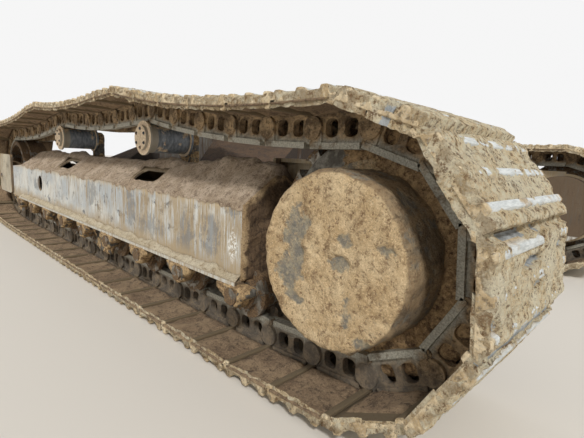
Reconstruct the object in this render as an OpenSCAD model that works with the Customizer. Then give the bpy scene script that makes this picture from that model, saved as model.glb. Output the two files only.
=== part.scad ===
// Crawler undercarriage of an excavator: two track units, the car body
// between them and the slewing ring that carries the upper structure.
// Millimetres, +X forward (idler end), +Y left, +Z up.
// The origin is on the ground under the slewing axis.

/* [Track chain] */
// Distance between two neighbouring track pins
link_pitch = 216; // [200:1:230]
// Links in each loop
link_count = 48; // [46:1:51]
// Links that lie flat on the ground
flat_links = 15; // [14:1:15]
// Height of the running rail above the pin line
rail_drop = 65; // [55:1:72]
// Distance from the pin line to the shoe
pin_to_shoe = 50; // [44:1:56]
// Width of a shoe
shoe_w = 600; // [500:10:800]
// Length of a shoe along the chain
shoe_l = 204; // [180:1:210]
// Thickness of a shoe plate
shoe_t = 12; // [8:1:18]
// Height of a grouser above the shoe plate
grouser_h = 28; // [15:1:40]
// Width of a grouser at its foot
grouser_b = 40; // [24:1:52]
// Clear width between the two rails of a chain
rail_gap = 100; // [90:1:110]
// Width of one rail
rail_w = 53; // [40:1:58]
// Sag of the upper run between two supports
top_sag = 38; // [15:1:55]

/* [Layout] */
// Distance between the two track centre lines
gauge = 2590; // [2400:10:3000]
// Height of the sprocket centre above the ground
sprocket_z = 476; // [470:1:500]
// Height of the idler centre above the ground
idler_z = 476; // [470:1:490]

/* [Sprocket and drive] */
// Teeth of the sprocket, two to each link
sprocket_teeth = 21; // [21:2:23]
// Width of the sprocket's teeth
sprocket_w = 80; // [60:1:86]
// Height of a tooth above the pin circle
tooth_h = 26; // [15:1:30]
// Radius of the bushing pockets between the teeth
pocket_r = 32; // [28:1:36]
// Radius of the drive's cover drum
drum_r = 242; // [220:1:250]
// Distance of the drum's outer face from the track centre line
drum_y = 256; // [220:1:290]
// Radius of the drum's seat for the sprocket
hub_r = 200; // [180:1:210]
// Radius of the flange that the sprocket is bolted to
hub_flange_r = 274; // [260:1:276]
// Thickness of that flange
hub_flange_t = 24; // [16:1:30]
// Radius of the travel motor
motor_r = 125; // [100:1:140]
// Wall of the motor's guard
guard_wall = 10; // [6:1:14]

/* [Idler] */
// Radius of the idler's tread
idler_r = 290; // [270:1:300]
// Height of the idler's centre flange
idler_flange_h = 19; // [12:1:25]
// Radius of the idler's shaft
idler_shaft_r = 45; // [35:1:55]

/* [Rollers] */
// Track rollers on each side
roller_count = 9; // [7:1:9]
// Radius of a track roller's tread
roller_r = 80; // [70:1:84]
// Radius of a track roller's flange
roller_flange_r = 97; // [90:1:104]
// Outer radius of the collar that holds a track roller's shaft
collar_r = 45; // [42:1:52]
// Distance of the collar's inner face from the track centre line
collar_in = 150; // [148:1:158]
// Radius of a track roller's shaft
roller_shaft_r = 32; // [25:1:36]
// Distance from the sprocket to the first track roller
roller_first = 474; // [474:2:560]
// Distance from the last track roller to the idler
roller_last = 510; // [470:5:560]
// Places of the carrier rollers, ahead of the sprocket
carrier_x = [1340, 2650];
// Radius of a carrier roller
carrier_r = 72; // [62:1:80]
// Height of a carrier roller's flange
carrier_flange_h = 14; // [8:1:18]
// Radius of a carrier roller's shaft
carrier_shaft_r = 30; // [22:1:34]
// Height of the upper run above the sprocket centre at the carriers
carrier_run = 478; // [440:1:490]

/* [Track frame] */
// Half width of the track frame
frame_hw = 175; // [165:1:185]
// Wall of the track frame
frame_wall = 12; // [8:1:16]
// Height of the frame's lower edge
frame_low = 276; // [270:1:285]
// Height of the side plate's upper edge
frame_side = 565; // [530:5:585]
// Height of the frame's ridge
frame_top = 670; // [630:5:690]
// Half width of the flat ridge
ridge_hw = 25; // [15:1:50]
// Depth of the roller channel under the frame
channel_h = 72; // [66:1:90]
// Width of the lip along the lower edge
lip_w = 30; // [20:1:40]
// Thickness of that lip
lip_t = 14; // [10:1:20]
// Distance from the sprocket centre to the frame's rear end plate
frame_rear = 454; // [430:2:470]
// Distance from the frame box to the idler centre
frame_front = 500; // [470:5:560]
// Length of the mud holes in the sloped top
mud_hole_l = 250; // [150:5:280]
// Width of the mud holes
mud_hole_w = 96; // [60:2:110]
// Places of the outer mud holes, ahead of the sprocket
mud_out_x = [1320, 2530];
// Places of the inner mud holes
mud_in_x = [960, 1990, 3120];
// Place and height of the access hole in the outer side plate
access_at = [2985, 447];
// Half width of the access hole
access_r = 52; // [40:1:60]
// Straight stretch of the access hole
access_l = 16; // [0:1:30]
// Length of a track guide
guide_l = 240; // [160:5:250]
// Height of a track guide's lower edge above the ground
guide_low = 126; // [100:2:150]
// Thickness of a track guide
guide_web = 14; // [10:1:18]
// Width of a roller collar's foot
foot_w = 170; // [130:2:180]
// Thickness of a roller collar's foot
foot_t = 26; // [18:1:30]
// Thickness of the drive's bracket plate
bracket_t = 30; // [20:1:40]
// Width of the flange on top of the drive's bracket
bracket_flange_w = 70; // [50:5:90]
// Length of the recoil unit in the frame
recoil_l = 800; // [700:10:900]
// Radius of the recoil unit
recoil_r = 92; // [70:1:100]

/* [Car body and slewing ring] */
// Half length and half width of the centre box
body_h = 780; // [760:5:840]
// Chamfer of the centre box's corners
body_chamfer = 420; // [340:5:480]
// Height of the centre box's floor
body_low = 500; // [440:5:540]
// Height of the centre box's deck
body_top = 860; // [820:5:880]
// Radius of the well in the centre box
well_r = 240; // [200:5:245]
// Height of the slewing ring's seat
seat_z = 1000; // [960:5:1040]
// Radial width of the ring's outer race
outer_race_w = 88; // [70:1:100]
// Radial width of the inner race, from the foot of its teeth outwards
inner_race_w = 87.6; // [70:0.2:100]
// Height of one race
race_h = 100; // [80:2:120]
// Running gap between the two races
race_gap = 0.5; // [0.4:0.1:0.9]
// Step between the two races' ends
race_step = 12; // [8:1:20]
// Pitch radius of the internal gear
gear_r = 540; // [520:5:560]
// Teeth of the internal gear
gear_teeth = 90; // [60:2:100]
// Bolts in each race
ring_bolts = 30; // [24:2:36]
// Radius of a bolt hole in the ring
ring_hole_r = 13; // [11:0.5:15]
// Distance of the outer race's bolt circle from its rim
outer_bolt_in = 30; // [26:1:40]
// Distance of the inner race's bolt circle from the running gap
inner_bolt_in = 42; // [30:1:52]
// Radial width of the ring's seat beyond the outer race
seat_rim = 15; // [5:1:25]
// Radius of the swivel joint's housing
swivel_r = 105; // [80:1:120]
// Width of the cover under the centre box
belly_w = 660; // [500:10:700]
// Where a leg meets the track frame, from the slewing axis
leg_x = [560, 1180];
// Radius of the eye in a towing lug
tow_hole_r = 38; // [30:1:44]
// Thickness of a towing lug
tow_t = 50; // [40:1:70]

/* [Hidden] */
$fn = 64;
// Clearance between pieces that fit into each other
fit = 0.3;

// Heights and radii of the chain
tip_out = pin_to_shoe + shoe_t + grouser_h;
pin_low = tip_out;
rail_low = pin_low + rail_drop;
sprocket_pin_r = link_pitch / 2 / sin(360 / sprocket_teeth);
idler_pin_r = norm([idler_r + rail_drop + fit, link_pitch / 2]);

// Path of the pins in the sprocket's own plane: x forward, y up. The flat run holds a
// whole number of links, with a pin at each end of it.
// Each leg is [length in links, kind, a, b] with kind 0 a straight run from a to b,
// 1 a half turn round centre a with b = [radius, start angle], 2 a sagging run.
function turn_links(r) = 180 / (2 * asin(link_pitch / 2 / r));
function sag_links(a, b) = (norm(b - a) + 8 * top_sag * top_sag / 3 / norm(b - a)) / link_pitch;
function path(d) = let(
        low = pin_low - sprocket_z,
        up = idler_z - sprocket_z,
        half = turn_links(sprocket_pin_r),
        rise = (ceil(half + 1) - half) * link_pitch,
        q1 = [0, -sprocket_pin_r],
        q2 = [sqrt(rise * rise - pow(low + sprocket_pin_r, 2)), low],
        q3 = q2 + [flat_links * link_pitch, 0],
        q4 = [d, up - idler_pin_r],
        q5 = [d, up + idler_pin_r],
        q6 = [carrier_x[1], carrier_run],
        q7 = [carrier_x[0], carrier_run],
        q0 = [0, sprocket_pin_r])
    [[turn_links(sprocket_pin_r), 1, [0, 0], [sprocket_pin_r, 90]],
     [norm(q2 - q1) / link_pitch, 0, q1, q2],
     [norm(q3 - q2) / link_pitch, 0, q2, q3],
     [norm(q4 - q3) / link_pitch, 0, q3, q4],
     [turn_links(idler_pin_r), 1, [d, up], [idler_pin_r, -90]],
     [sag_links(q5, q6), 2, q5, q6],
     [sag_links(q6, q7), 2, q6, q7],
     [sag_links(q7, q0), 2, q7, q0]];
function path_links(d) = let(s = path(d)) [for (g = s) g[0]] * [for (g = s) 1];
// The idler sits where the loop closes with a whole number of links
function close_loop(d, k) = k == 0 ? d
    : close_loop(d + (link_count - path_links(d)) * link_pitch / 2, k - 1);
idler_x = close_loop((link_count - sprocket_teeth / 2) / 2 * link_pitch, 16);
legs = path(idler_x);
function on_leg(g, u) = g[1] == 1
    ? g[2] + g[3][0] * [cos(g[3][1] + 180 * u), sin(g[3][1] + 180 * u)]
    : g[2] + (g[3] - g[2]) * u - [0, g[1] == 2 ? 4 * top_sag * u * (1 - u) : 0];
function at(t, i = 0) = t <= legs[i][0] || i == len(legs) - 1
    ? on_leg(legs[i], t / legs[i][0]) : at(t - legs[i][0], i + 1);
pins = [for (i = [0 : link_count - 1]) at(i)];
function pin(i) = pins[(i + link_count) % link_count];
function along(i) = (pin(i + 1) - pin(i)) / norm(pin(i + 1) - pin(i));
function outward(i) = [along(i)[1], -along(i)[0]];
// A pin moved outward by d on the bisector of its two links
function moved(i, d) = let(a = outward(i - 1), b = outward(i)) pin(i) + d * (a + b) / (1 + a * b);
// Outer profile of one shoe with its three grousers
function shoe_points(i) = let(m = (pin(i) + pin(i + 1)) / 2, t = along(i), o = outward(i),
        base = pin_to_shoe + shoe_t, reach = (shoe_l - grouser_b) / 2)
    [for (k = [-1, 0, 1]) for (e = [-1, 0, 1])
        m + t * (k * reach + e * grouser_b / 2) + o * (e == 0 ? base + grouser_h : base)];
shoe_ring = [for (i = [0 : link_count - 1]) each shoe_points(i)];
function ring_at(d) = [for (i = [0 : link_count - 1]) moved(i, d)];
// The slewing axis stands midway between the ends of the tracks
shoe_xs = [for (p = shoe_ring) p[0]];
sprocket_to_axis = (min(shoe_xs) + max(shoe_xs)) / 2;

// Rollers
roller_step = (idler_x - roller_first - roller_last) / (roller_count - 1);
roller_z = rail_low + fit + roller_r;
rail_in = rail_gap / 2;
rail_out = rail_in + rail_w;
// Height of the upper rails' underside over x, for one link
function rail_height(i, x) = let(a = pin(i), t = along(i), o = outward(i), p = a - o * rail_drop)
    p[1] + (x - p[0]) * t[1] / t[0];
function rail_slope(i) = along(i)[0];
function carrier_z(x) = min([for (i = [0 : link_count - 1])
    if (along(i)[0] < -0.5 && abs((pin(i)[0] + pin(i + 1)[0]) / 2 - x) < 1.6 * link_pitch)
        rail_height(i, x) - (carrier_r + fit) / abs(rail_slope(i))]);

// Track frame
box_front = idler_x - frame_front;
fork_front = idler_x - 60;
slope = atan2(frame_top - frame_side, frame_hw - ridge_hw);
function slope_z(y) = frame_side + (frame_hw - y) * tan(slope);
carrier_bracket_t = 50;
bracket_r = 250;
bracket_top = sprocket_z + 264;
flange_x = frame_rear - 124;
rod_r = 50;
block_h = [120, 95];
guide_t = 20;
motor_end = shoe_w / 2;

// Slewing ring
gear_m = 2 * gear_r / gear_teeth;
gear_foot = gear_r + 1.2 * gear_m;
race_r = gear_foot + inner_race_w;
ring_r = race_r + outer_race_w;
outer_bolt_r = ring_r - outer_bolt_in;
inner_bolt_r = race_r - inner_bolt_in;

// Puts a left-hand piece on its side: s = 1 left, s = -1 right
module side(s) {
    mirror([0, s < 0 ? 1 : 0, 0])
        translate([-sprocket_to_axis, gauge / 2, 0]) children();
}

// Extrudes an outline of the x-z plane from y0 to y1
module slab(y0, y1) {
    translate([0, y1, 0]) rotate([90, 0, 0]) linear_extrude(y1 - y0) children();
}

// Cylinder along y at x, z
module bar_y(x, z, r, y0, y1) {
    translate([x, y1, z]) rotate([90, 0, 0]) cylinder(r = r, h = y1 - y0);
}

// Cylinder along x at y, z
module bar_x(y, z, r, x0, x1) {
    translate([x0, y, z]) rotate([0, 90, 0]) cylinder(r = r, h = x1 - x0);
}

module track(s) {
    color("#a88a5c") side(s) translate([0, 0, sprocket_z]) {
        slab(-shoe_w / 2, shoe_w / 2) difference() {
            polygon(shoe_ring);
            polygon(ring_at(pin_to_shoe));
        }
        for (k = [-1, 1])
            slab(k < 0 ? -rail_out : rail_in, k < 0 ? -rail_in : rail_out) difference() {
                polygon(ring_at(pin_to_shoe + shoe_t / 2));
                polygon(ring_at(-rail_drop));
            }
    }
}

module sprocket(s) {
    color("#6d6a66") side(s) difference() {
        bar_y(0, sprocket_z, sprocket_pin_r + tooth_h, -sprocket_w / 2, sprocket_w / 2);
        bar_y(0, sprocket_z, hub_r + fit, -sprocket_w, sprocket_w);
        for (i = [0 : sprocket_teeth - 1]) {
            a = 90 + i * 360 / sprocket_teeth;
            bar_y(sprocket_pin_r * cos(a), sprocket_z + sprocket_pin_r * sin(a), pocket_r,
                -sprocket_w, sprocket_w);
        }
    }
}

// Fixed housing, sprocket flange and cover drum of the travel reduction
module final_drive(s) {
    seat = -frame_hw + bracket_t;
    face = sprocket_w / 2;
    color("#a08a68") side(s) translate([0, 0, sprocket_z]) rotate([-90, 0, 0]) rotate_extrude()
        polygon([[0, seat], [236, seat], [236, seat + 30], [hub_r, seat + 30], [hub_r, face],
            [hub_flange_r, face], [hub_flange_r, face + hub_flange_t],
            [drum_r, face + hub_flange_t], [drum_r, drum_y - 16],
            [drum_r - 16, drum_y], [0, drum_y]]);
}

module travel_motor(s) {
    color("#5b6470") side(s) {
        bar_y(0, sprocket_z, 148, -frame_hw, -frame_hw + bracket_t);
        bar_y(0, sprocket_z, 165, -frame_hw - 26, -frame_hw);
        bar_y(0, sprocket_z, motor_r, -motor_end + 22, -frame_hw - 20);
        translate([-70, -motor_end + 40, sprocket_z + 60]) cube([140, 80, 100]);
    }
}

module motor_guard(s) {
    r = bracket_r - 18;
    color("#7d7468") side(s) difference() {
        bar_y(0, sprocket_z, r, -motor_end, -frame_hw);
        bar_y(0, sprocket_z, r - guard_wall, -motor_end + guard_wall, -frame_hw + 1);
        translate([r * 0.6, -motor_end - 1, sprocket_z - 110]) cube([r, motor_end - frame_hw + 2, 90]);
    }
}

module frame_section() {
    w = frame_wall;
    c = frame_low + channel_h;
    difference() {
        polygon([[-frame_hw, frame_low], [-frame_hw, frame_side], [-ridge_hw, frame_top],
            [ridge_hw, frame_top], [frame_hw, frame_side], [frame_hw, frame_low]]);
        polygon([[-frame_hw + w, c + w], [-frame_hw + w, frame_side - w * 0.4],
            [-ridge_hw, frame_top - w], [ridge_hw, frame_top - w],
            [frame_hw - w, frame_side - w * 0.4], [frame_hw - w, c + w]]);
        translate([-frame_hw + w, frame_low - 1]) square([2 * (frame_hw - w), channel_h + 1]);
    }
}

// Closed outline of the frame's section, for its end plates
module frame_outline() {
    c = frame_low + channel_h;
    polygon([[-frame_hw, c], [-frame_hw, frame_side], [-ridge_hw, frame_top],
        [ridge_hw, frame_top], [frame_hw, frame_side], [frame_hw, c]]);
}

module along_x(x0, x1) {
    translate([x0, 0, 0]) rotate([90, 0, 90]) linear_extrude(x1 - x0) children();
}

// Oval of a given length and width, standing on a sloped top plate
module mud_hole(x, k) {
    y = (frame_hw + ridge_hw) / 2;
    translate([x, k * y, slope_z(y)]) rotate([-k * slope, 0, 0]) translate([0, 0, -40]) {
        for (e = [-1, 1]) translate([e * (mud_hole_l - mud_hole_w) / 2, 0, 0])
            cylinder(r = mud_hole_w / 2, h = 80);
        translate([-(mud_hole_l - mud_hole_w) / 2, -mud_hole_w / 2, 0])
            cube([mud_hole_l - mud_hole_w, mud_hole_w, 80]);
    }
}

module frame(s) {
    color("#7f8c98") side(s) {
        difference() {
            union() {
                along_x(frame_rear, box_front) frame_section();
                along_x(frame_rear, frame_rear + 16) frame_outline();
                along_x(box_front - 20, box_front) frame_outline();
                for (k = [-1, 1]) {
                    translate([frame_rear, k < 0 ? -frame_hw - lip_w : frame_hw - 1, frame_low])
                        cube([box_front - frame_rear, lip_w + 1, lip_t]);
                    slab(k < 0 ? -frame_hw : frame_hw - frame_wall, k < 0 ? -frame_hw + frame_wall : frame_hw)
                        polygon([[box_front - 1, frame_low], [fork_front - 60, frame_low],
                            [fork_front, frame_low + 60], [fork_front, frame_side - 60],
                            [fork_front - 30, frame_side - 30], [box_front - 1, frame_side]]);
                }
            }
            for (x = mud_out_x) mud_hole(x, 1);
            for (x = mud_in_x) mud_hole(x, -1);
            for (e = [-1, 1]) bar_y(access_at[0], access_at[1] + e * access_l / 2, access_r,
                frame_hw - 60, frame_hw + 10);
            translate([access_at[0] - access_r, frame_hw - 60, access_at[1] - access_l / 2])
                cube([2 * access_r, 70, access_l]);
            bar_x(0, idler_z, rod_r + 8, box_front - 30, box_front + 10);
            for (k = [-1, 1]) translate([idler_x - block_h[0] - fit, k < 0 ? -frame_hw - 1 : frame_hw - frame_wall - 1,
                idler_z - block_h[1] - fit]) cube([2 * block_h[0], frame_wall + 2, 2 * (block_h[1] + fit)]);
        }
        // Bracket that the travel reduction is bolted to
        difference() {
            union() {
                bar_y(0, sprocket_z, bracket_r, -frame_hw, -frame_hw + bracket_t);
                slab(-frame_hw, -frame_hw + bracket_t)
                    polygon([[0, sprocket_z - bracket_r], [roller_first - foot_w / 2 - 10, frame_low],
                        [frame_rear + 1, roller_z + roller_r - 12],
                        [frame_rear + 1, frame_side - 1], [frame_rear + 170, frame_side - 1],
                        [frame_rear + 150, bracket_top], [0, bracket_top]]);
                translate([flange_x, -frame_hw, bracket_top - 16])
                    cube([frame_rear + 150 - flange_x, bracket_flange_w, 16]);
                difference() {
                    along_x(frame_rear + 110, frame_rear + 128) polygon([[-frame_hw, frame_side],
                        [-frame_hw, bracket_top], [-75, bracket_top], [-75, slope_z(75) - 1],
                        [-frame_hw + 1, frame_side - 1]]);
                    bar_x(-104, bracket_top - 46, 20, frame_rear + 100, frame_rear + 140);
                }
                slab(-frame_hw, -frame_hw + bracket_flange_w)
                    polygon([[250, frame_low + 80], [frame_rear + 1, frame_low + 76],
                        [frame_rear + 1, frame_side - 10], [250, frame_side - 60]]);
            }
            bar_y(0, sprocket_z, 148 + fit, -frame_hw - 1, -frame_hw + bracket_t + 1);
        }
    }
}

module idler(s) {
    hub = 108;
    color("#8a7f70") side(s) translate([idler_x, 0, idler_z]) rotate([-90, 0, 0]) rotate_extrude()
        polygon([[0, -frame_hw + frame_wall + fit], [idler_shaft_r, -frame_hw + frame_wall + fit],
            [idler_shaft_r, -hub], [80, -hub], [95, -30], [idler_r - 50, -24], [idler_r - 36, -104],
            [idler_r, -104], [idler_r, -rail_in + 4], [idler_r + idler_flange_h, -rail_in + 10],
            [idler_r + idler_flange_h, rail_in - 10], [idler_r, rail_in - 4], [idler_r, 104],
            [idler_r - 36, 104], [idler_r - 50, 24], [95, 30], [80, hub], [idler_shaft_r, hub],
            [idler_shaft_r, frame_hw - frame_wall - fit], [0, frame_hw - frame_wall - fit]]);
}

// Two bearing blocks with their guide plates, and the yoke behind the idler
module idler_yoke(s) {
    in = 110;
    out = frame_hw - frame_wall - fit;
    back = idler_r + idler_flange_h + 30;
    color("#9a8563") side(s) translate([idler_x, 0, idler_z]) {
        difference() {
            union() {
                for (k = [-1, 1]) {
                    translate([-block_h[0], k < 0 ? -out : in, -block_h[1]])
                        cube([2 * block_h[0], out - in, 2 * block_h[1]]);
                    translate([-back - 1, k < 0 ? -out : out - 40, -50])
                        cube([back, 40, 100]);
                    translate([-block_h[0], k < 0 ? -frame_hw - guide_t : out - 1, -block_h[1]])
                        cube([2 * block_h[0], frame_hw + guide_t - out + 1, 2 * block_h[1]]);
                }
                translate([-back - 50, -out, -70]) cube([50, 2 * out, 140]);
                bar_x(0, 0, rod_r, -frame_front - 20, -back - 40);
            }
            bar_y(0, 0, idler_shaft_r + fit, -out - 1, out + 1);
        }
        for (k = [-1, 1]) slab(k < 0 ? -frame_hw - guide_t : frame_hw + fit, k < 0 ? -frame_hw - fit : frame_hw + guide_t)
            polygon([[-185, -175], [-150, -190], [230, -190], [260, -150], [260, 130],
                [225, 165], [-165, 165], [-185, 145]]);
    }
}

module recoil_unit(s) {
    color("#4f5560") side(s)
        bar_x(0, idler_z, recoil_r, box_front - 20 - recoil_l, box_front - 20);
}

module roller(x) {
    bar_y(x, roller_z, roller_r - 8, -rail_in + 2, rail_in - 2);
    bar_y(x, roller_z, roller_shaft_r, -frame_hw - lip_w - 6, frame_hw + lip_w + 6);
    for (k = [-1, 1]) {
        bar_y(x, roller_z, roller_r, k < 0 ? -rail_out - 3 : rail_in - 2, k < 0 ? -rail_in + 2 : rail_out + 3);
        bar_y(x, roller_z, roller_flange_r, k < 0 ? -rail_out - 21 : rail_out + 3, k < 0 ? -rail_out - 3 : rail_out + 21);
        bar_y(x, roller_z, roller_r - 20, k < 0 ? fit - collar_in : rail_out + 21,
            k < 0 ? -rail_out - 21 : collar_in - fit);
    }
}

module track_rollers(s) {
    color("#77756f") side(s)
        for (i = [0 : roller_count - 1]) roller(roller_first + i * roller_step);
}

module roller_collars(s) {
    out = frame_hw + lip_w;
    up = frame_low - roller_z;
    color("#8d8578") side(s)
        for (i = [0 : roller_count - 1]) for (k = [-1, 1])
            translate([roller_first + i * roller_step, 0, roller_z])
                slab(k < 0 ? -out : collar_in, k < 0 ? -collar_in : out) difference() {
                    intersection() {
                        union() {
                            circle(r = collar_r);
                            polygon([[-foot_w / 2, up], [foot_w / 2, up], [foot_w / 2, up - foot_t],
                                [collar_r, -10], [-collar_r, -10], [-foot_w / 2, up - foot_t]]);
                        }
                        translate([-foot_w, -foot_w]) square([2 * foot_w, foot_w + up]);
                    }
                    circle(r = roller_shaft_r + fit);
                }
}

// Guides that keep the chain on its rollers: one between rollers 4 and 5, one at the front
module track_guides(s) {
    in = frame_hw - 33;
    foot = roller_step - foot_w - 10;
    color("#9a8460") side(s)
        for (x = [roller_first + 3.5 * roller_step, idler_x - roller_last + 0.62 * roller_step])
            for (k = [-1, 1]) mirror([0, k < 0 ? 1 : 0, 0]) translate([x, 0, 0]) {
                slab(in - guide_web, in) polygon([[-guide_l / 2, frame_low], [guide_l / 2, frame_low],
                    [guide_l / 2, guide_low + 30], [guide_l / 2 - 30, guide_low],
                    [-guide_l / 2 + 30, guide_low], [-guide_l / 2, guide_low + 30]]);
                translate([-foot / 2, in - 1, frame_low - guide_web])
                    cube([foot, frame_hw + 1 - in, guide_web]);
                for (e = [-1, 1]) translate([e * (foot / 2 - 14) - 6, in - 1, frame_low - guide_web + 1])
                    mirror([0, 0, 1]) rotate([90, 0, 90]) linear_extrude(12) polygon([[0, 0], [34, 0], [0, 90]]);
            }
}

module carrier_rollers(s) {
    color("#8f949a") side(s) translate([0, 0, sprocket_z]) for (x = carrier_x) {
        bar_y(x, carrier_z(x), carrier_r, -rail_out - 5, rail_out + 5);
        for (k = [-1, 1])
            bar_y(x, carrier_z(x), carrier_r + carrier_flange_h, k < 0 ? -rail_out - 17 : rail_out + 5,
                k < 0 ? -rail_out - 5 : rail_out + 17);
        bar_y(x, carrier_z(x), carrier_r - 10, rail_out + 17, rail_out + 32);
        bar_y(x, carrier_z(x), carrier_shaft_r, -frame_hw - 10, 0);
    }
}

module carrier_brackets(s) {
    t = carrier_bracket_t;
    y1 = -frame_hw + t;
    color("#8a8374") side(s) for (x = carrier_x) {
        z = sprocket_z + carrier_z(x);
        difference() {
            union() {
                along_x(x - 55, x + 55)
                    polygon([[-frame_hw, frame_side], [-frame_hw, z], [y1, z], [y1, slope_z(-y1)]]);
                bar_y(x, z, 55, -frame_hw, y1);
            }
            bar_y(x, z, carrier_shaft_r + fit, -frame_hw - 1, y1 + 1);
        }
    }
}

module body_outline() {
    a = body_h;
    b = body_h - body_chamfer;
    polygon([[a, b], [b, a], [-b, a], [-a, b], [-a, -b], [-b, -a], [b, -a], [a, -b]]);
}

module car_body() {
    color("#8794a0") translate([0, 0, body_low]) linear_extrude(body_top - body_low) difference() {
        body_outline();
        circle(r = well_r);
    }
}

// Leg from the centre box's cut corner to the track frame
module leg(sx, sy) {
    c = body_h - body_chamfer / 2;
    w = body_chamfer * sqrt(2) / 2 - 20;
    y = gauge / 2 - frame_hw;
    color("#828f9b") mirror([sx < 0 ? 1 : 0, 0, 0]) mirror([0, sy < 0 ? 1 : 0, 0]) hull() {
        translate([c, c, body_low + 10]) rotate([0, 0, 45]) translate([0, -w, 0])
            cube([1, 2 * w, body_top - body_low - 20]);
        translate([leg_x[0], y - 1, frame_low + lip_t + 20])
            cube([leg_x[1] - leg_x[0], 1, frame_side - frame_low - lip_t - 40]);
    }
}

module ring_seat() {
    color("#8794a0") translate([0, 0, body_top]) difference() {
        cylinder(r = ring_r + seat_rim, h = seat_z - body_top, $fn = 96);
        translate([0, 0, -1]) cylinder(r = gear_foot + seat_rim, h = seat_z - body_top + 2, $fn = 96);
        for (i = [0 : ring_bolts - 1]) rotate([0, 0, (i + 0.5) * 360 / ring_bolts])
            translate([inner_bolt_r, 0, seat_z - body_top - 60]) cylinder(r = ring_hole_r, h = 61, $fn = 24);
    }
}

module belly_cover() {
    color("#6f6a62") translate([0, 0, body_low - 12]) difference() {
        translate([-belly_w / 2, -belly_w / 2, 0]) cube([belly_w, belly_w, 12]);
        translate([0, 0, -1]) cylinder(r = 90, h = 14);
    }
}

module tow_lugs() {
    color("#8794a0") for (k = [-1, 1]) translate([k * body_h, 0, body_low + 110 - tow_t / 2])
        linear_extrude(tow_t) difference() {
            intersection() {
                union() {
                    translate([k * 60, 0]) circle(r = 78);
                    translate([k < 0 ? -60 : 0, -78]) square([60, 156]);
                }
                translate([k < 0 ? -200 : 0, -100]) square([200, 200]);
            }
            translate([k * 60, 0]) circle(r = tow_hole_r);
        }
}

module slew_inner_race() {
    step = 360 / gear_teeth;
    tip = gear_r - gear_m;
    color("#74777a") translate([0, 0, seat_z]) difference() {
        cylinder(r = race_r - race_gap / 2, h = race_h, $fn = 96);
        translate([0, 0, -1]) linear_extrude(race_h + 2) polygon([for (i = [0 : gear_teeth - 1])
            for (p = [[-0.30, tip], [-0.16, gear_foot], [0.16, gear_foot], [0.30, tip]])
                p[1] * [cos((i + p[0]) * step), sin((i + p[0]) * step)]]);
        for (i = [0 : ring_bolts - 1]) rotate([0, 0, (i + 0.5) * 360 / ring_bolts])
            translate([inner_bolt_r, 0, -1]) cylinder(r = ring_hole_r, h = race_h + 2, $fn = 24);
    }
}

module slew_outer_race() {
    color("#7d8186") translate([0, 0, seat_z + race_step]) difference() {
        cylinder(r = ring_r, h = race_h, $fn = 96);
        translate([0, 0, -1]) cylinder(r = race_r + race_gap / 2, h = race_h + 2, $fn = 96);
        for (i = [0 : ring_bolts - 1]) rotate([0, 0, i * 360 / ring_bolts])
            translate([outer_bolt_r, 0, -1]) cylinder(r = ring_hole_r, h = race_h + 2, $fn = 24);
    }
}

swivel_flange_r = well_r + 60;
module swivel_housing() {
    color("#676d74") translate([0, 0, body_top]) difference() {
        union() {
            cylinder(r = swivel_flange_r, h = 16);
            translate([0, 0, -200]) cylinder(r = swivel_r, h = 300);
            for (a = [0 : 90 : 270]) rotate([0, 0, a]) translate([0, 0, -120]) rotate([0, 90, 0])
                cylinder(r = 22, h = swivel_r + 26);
        }
        translate([0, 0, -80]) cylinder(r = 70 + fit, h = 200);
    }
}

module swivel_rotor() {
    color("#8b8f94") translate([0, 0, body_top]) {
        translate([0, 0, -80 + fit]) cylinder(r = 70, h = 250);
        translate([0, 0, 100 + fit]) cylinder(r = swivel_r, h = 70);
        translate([0, -20, 150]) cube([170, 40, 20]);
    }
}

frame(1);  // left_frame
frame(-1);  // right_frame
track(1);  // left_track
track(-1);  // right_track
sprocket(1);  // left_sprocket
sprocket(-1);  // right_sprocket
final_drive(1);  // left_final_drive
final_drive(-1);  // right_final_drive
travel_motor(1);  // left_travel_motor
travel_motor(-1);  // right_travel_motor
motor_guard(1);  // left_motor_guard
motor_guard(-1);  // right_motor_guard
idler(1);  // left_idler
idler(-1);  // right_idler
idler_yoke(1);  // left_idler_yoke
idler_yoke(-1);  // right_idler_yoke
recoil_unit(1);  // left_recoil_unit
recoil_unit(-1);  // right_recoil_unit
track_rollers(1);  // left_track_rollers
track_rollers(-1);  // right_track_rollers
roller_collars(1);  // left_roller_collars
roller_collars(-1);  // right_roller_collars
track_guides(1);  // left_track_guides
track_guides(-1);  // right_track_guides
carrier_rollers(1);  // left_carrier_rollers
carrier_rollers(-1);  // right_carrier_rollers
carrier_brackets(1);  // left_carrier_brackets
carrier_brackets(-1);  // right_carrier_brackets
car_body();
leg(1, 1);  // leg_front_left
leg(1, -1);  // leg_front_right
leg(-1, 1);  // leg_rear_left
leg(-1, -1);  // leg_rear_right
ring_seat();
belly_cover();
tow_lugs();
slew_inner_race();
slew_outer_race();
swivel_housing();
swivel_rotor();
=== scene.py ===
# %% [markdown]
# # A crawler undercarriage, dressed for its photograph
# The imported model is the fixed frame: real solids at their real size, in metres, with +X to the
# idlers, +Y to the left track and +Z up. This lesson adds what the solids leave out, which on this
# machine is mostly worn steel, flaking paint and a lot of dried mud.

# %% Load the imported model
import math

import bpy
import numpy as np
from mathutils import Matrix, Vector, noise


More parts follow.
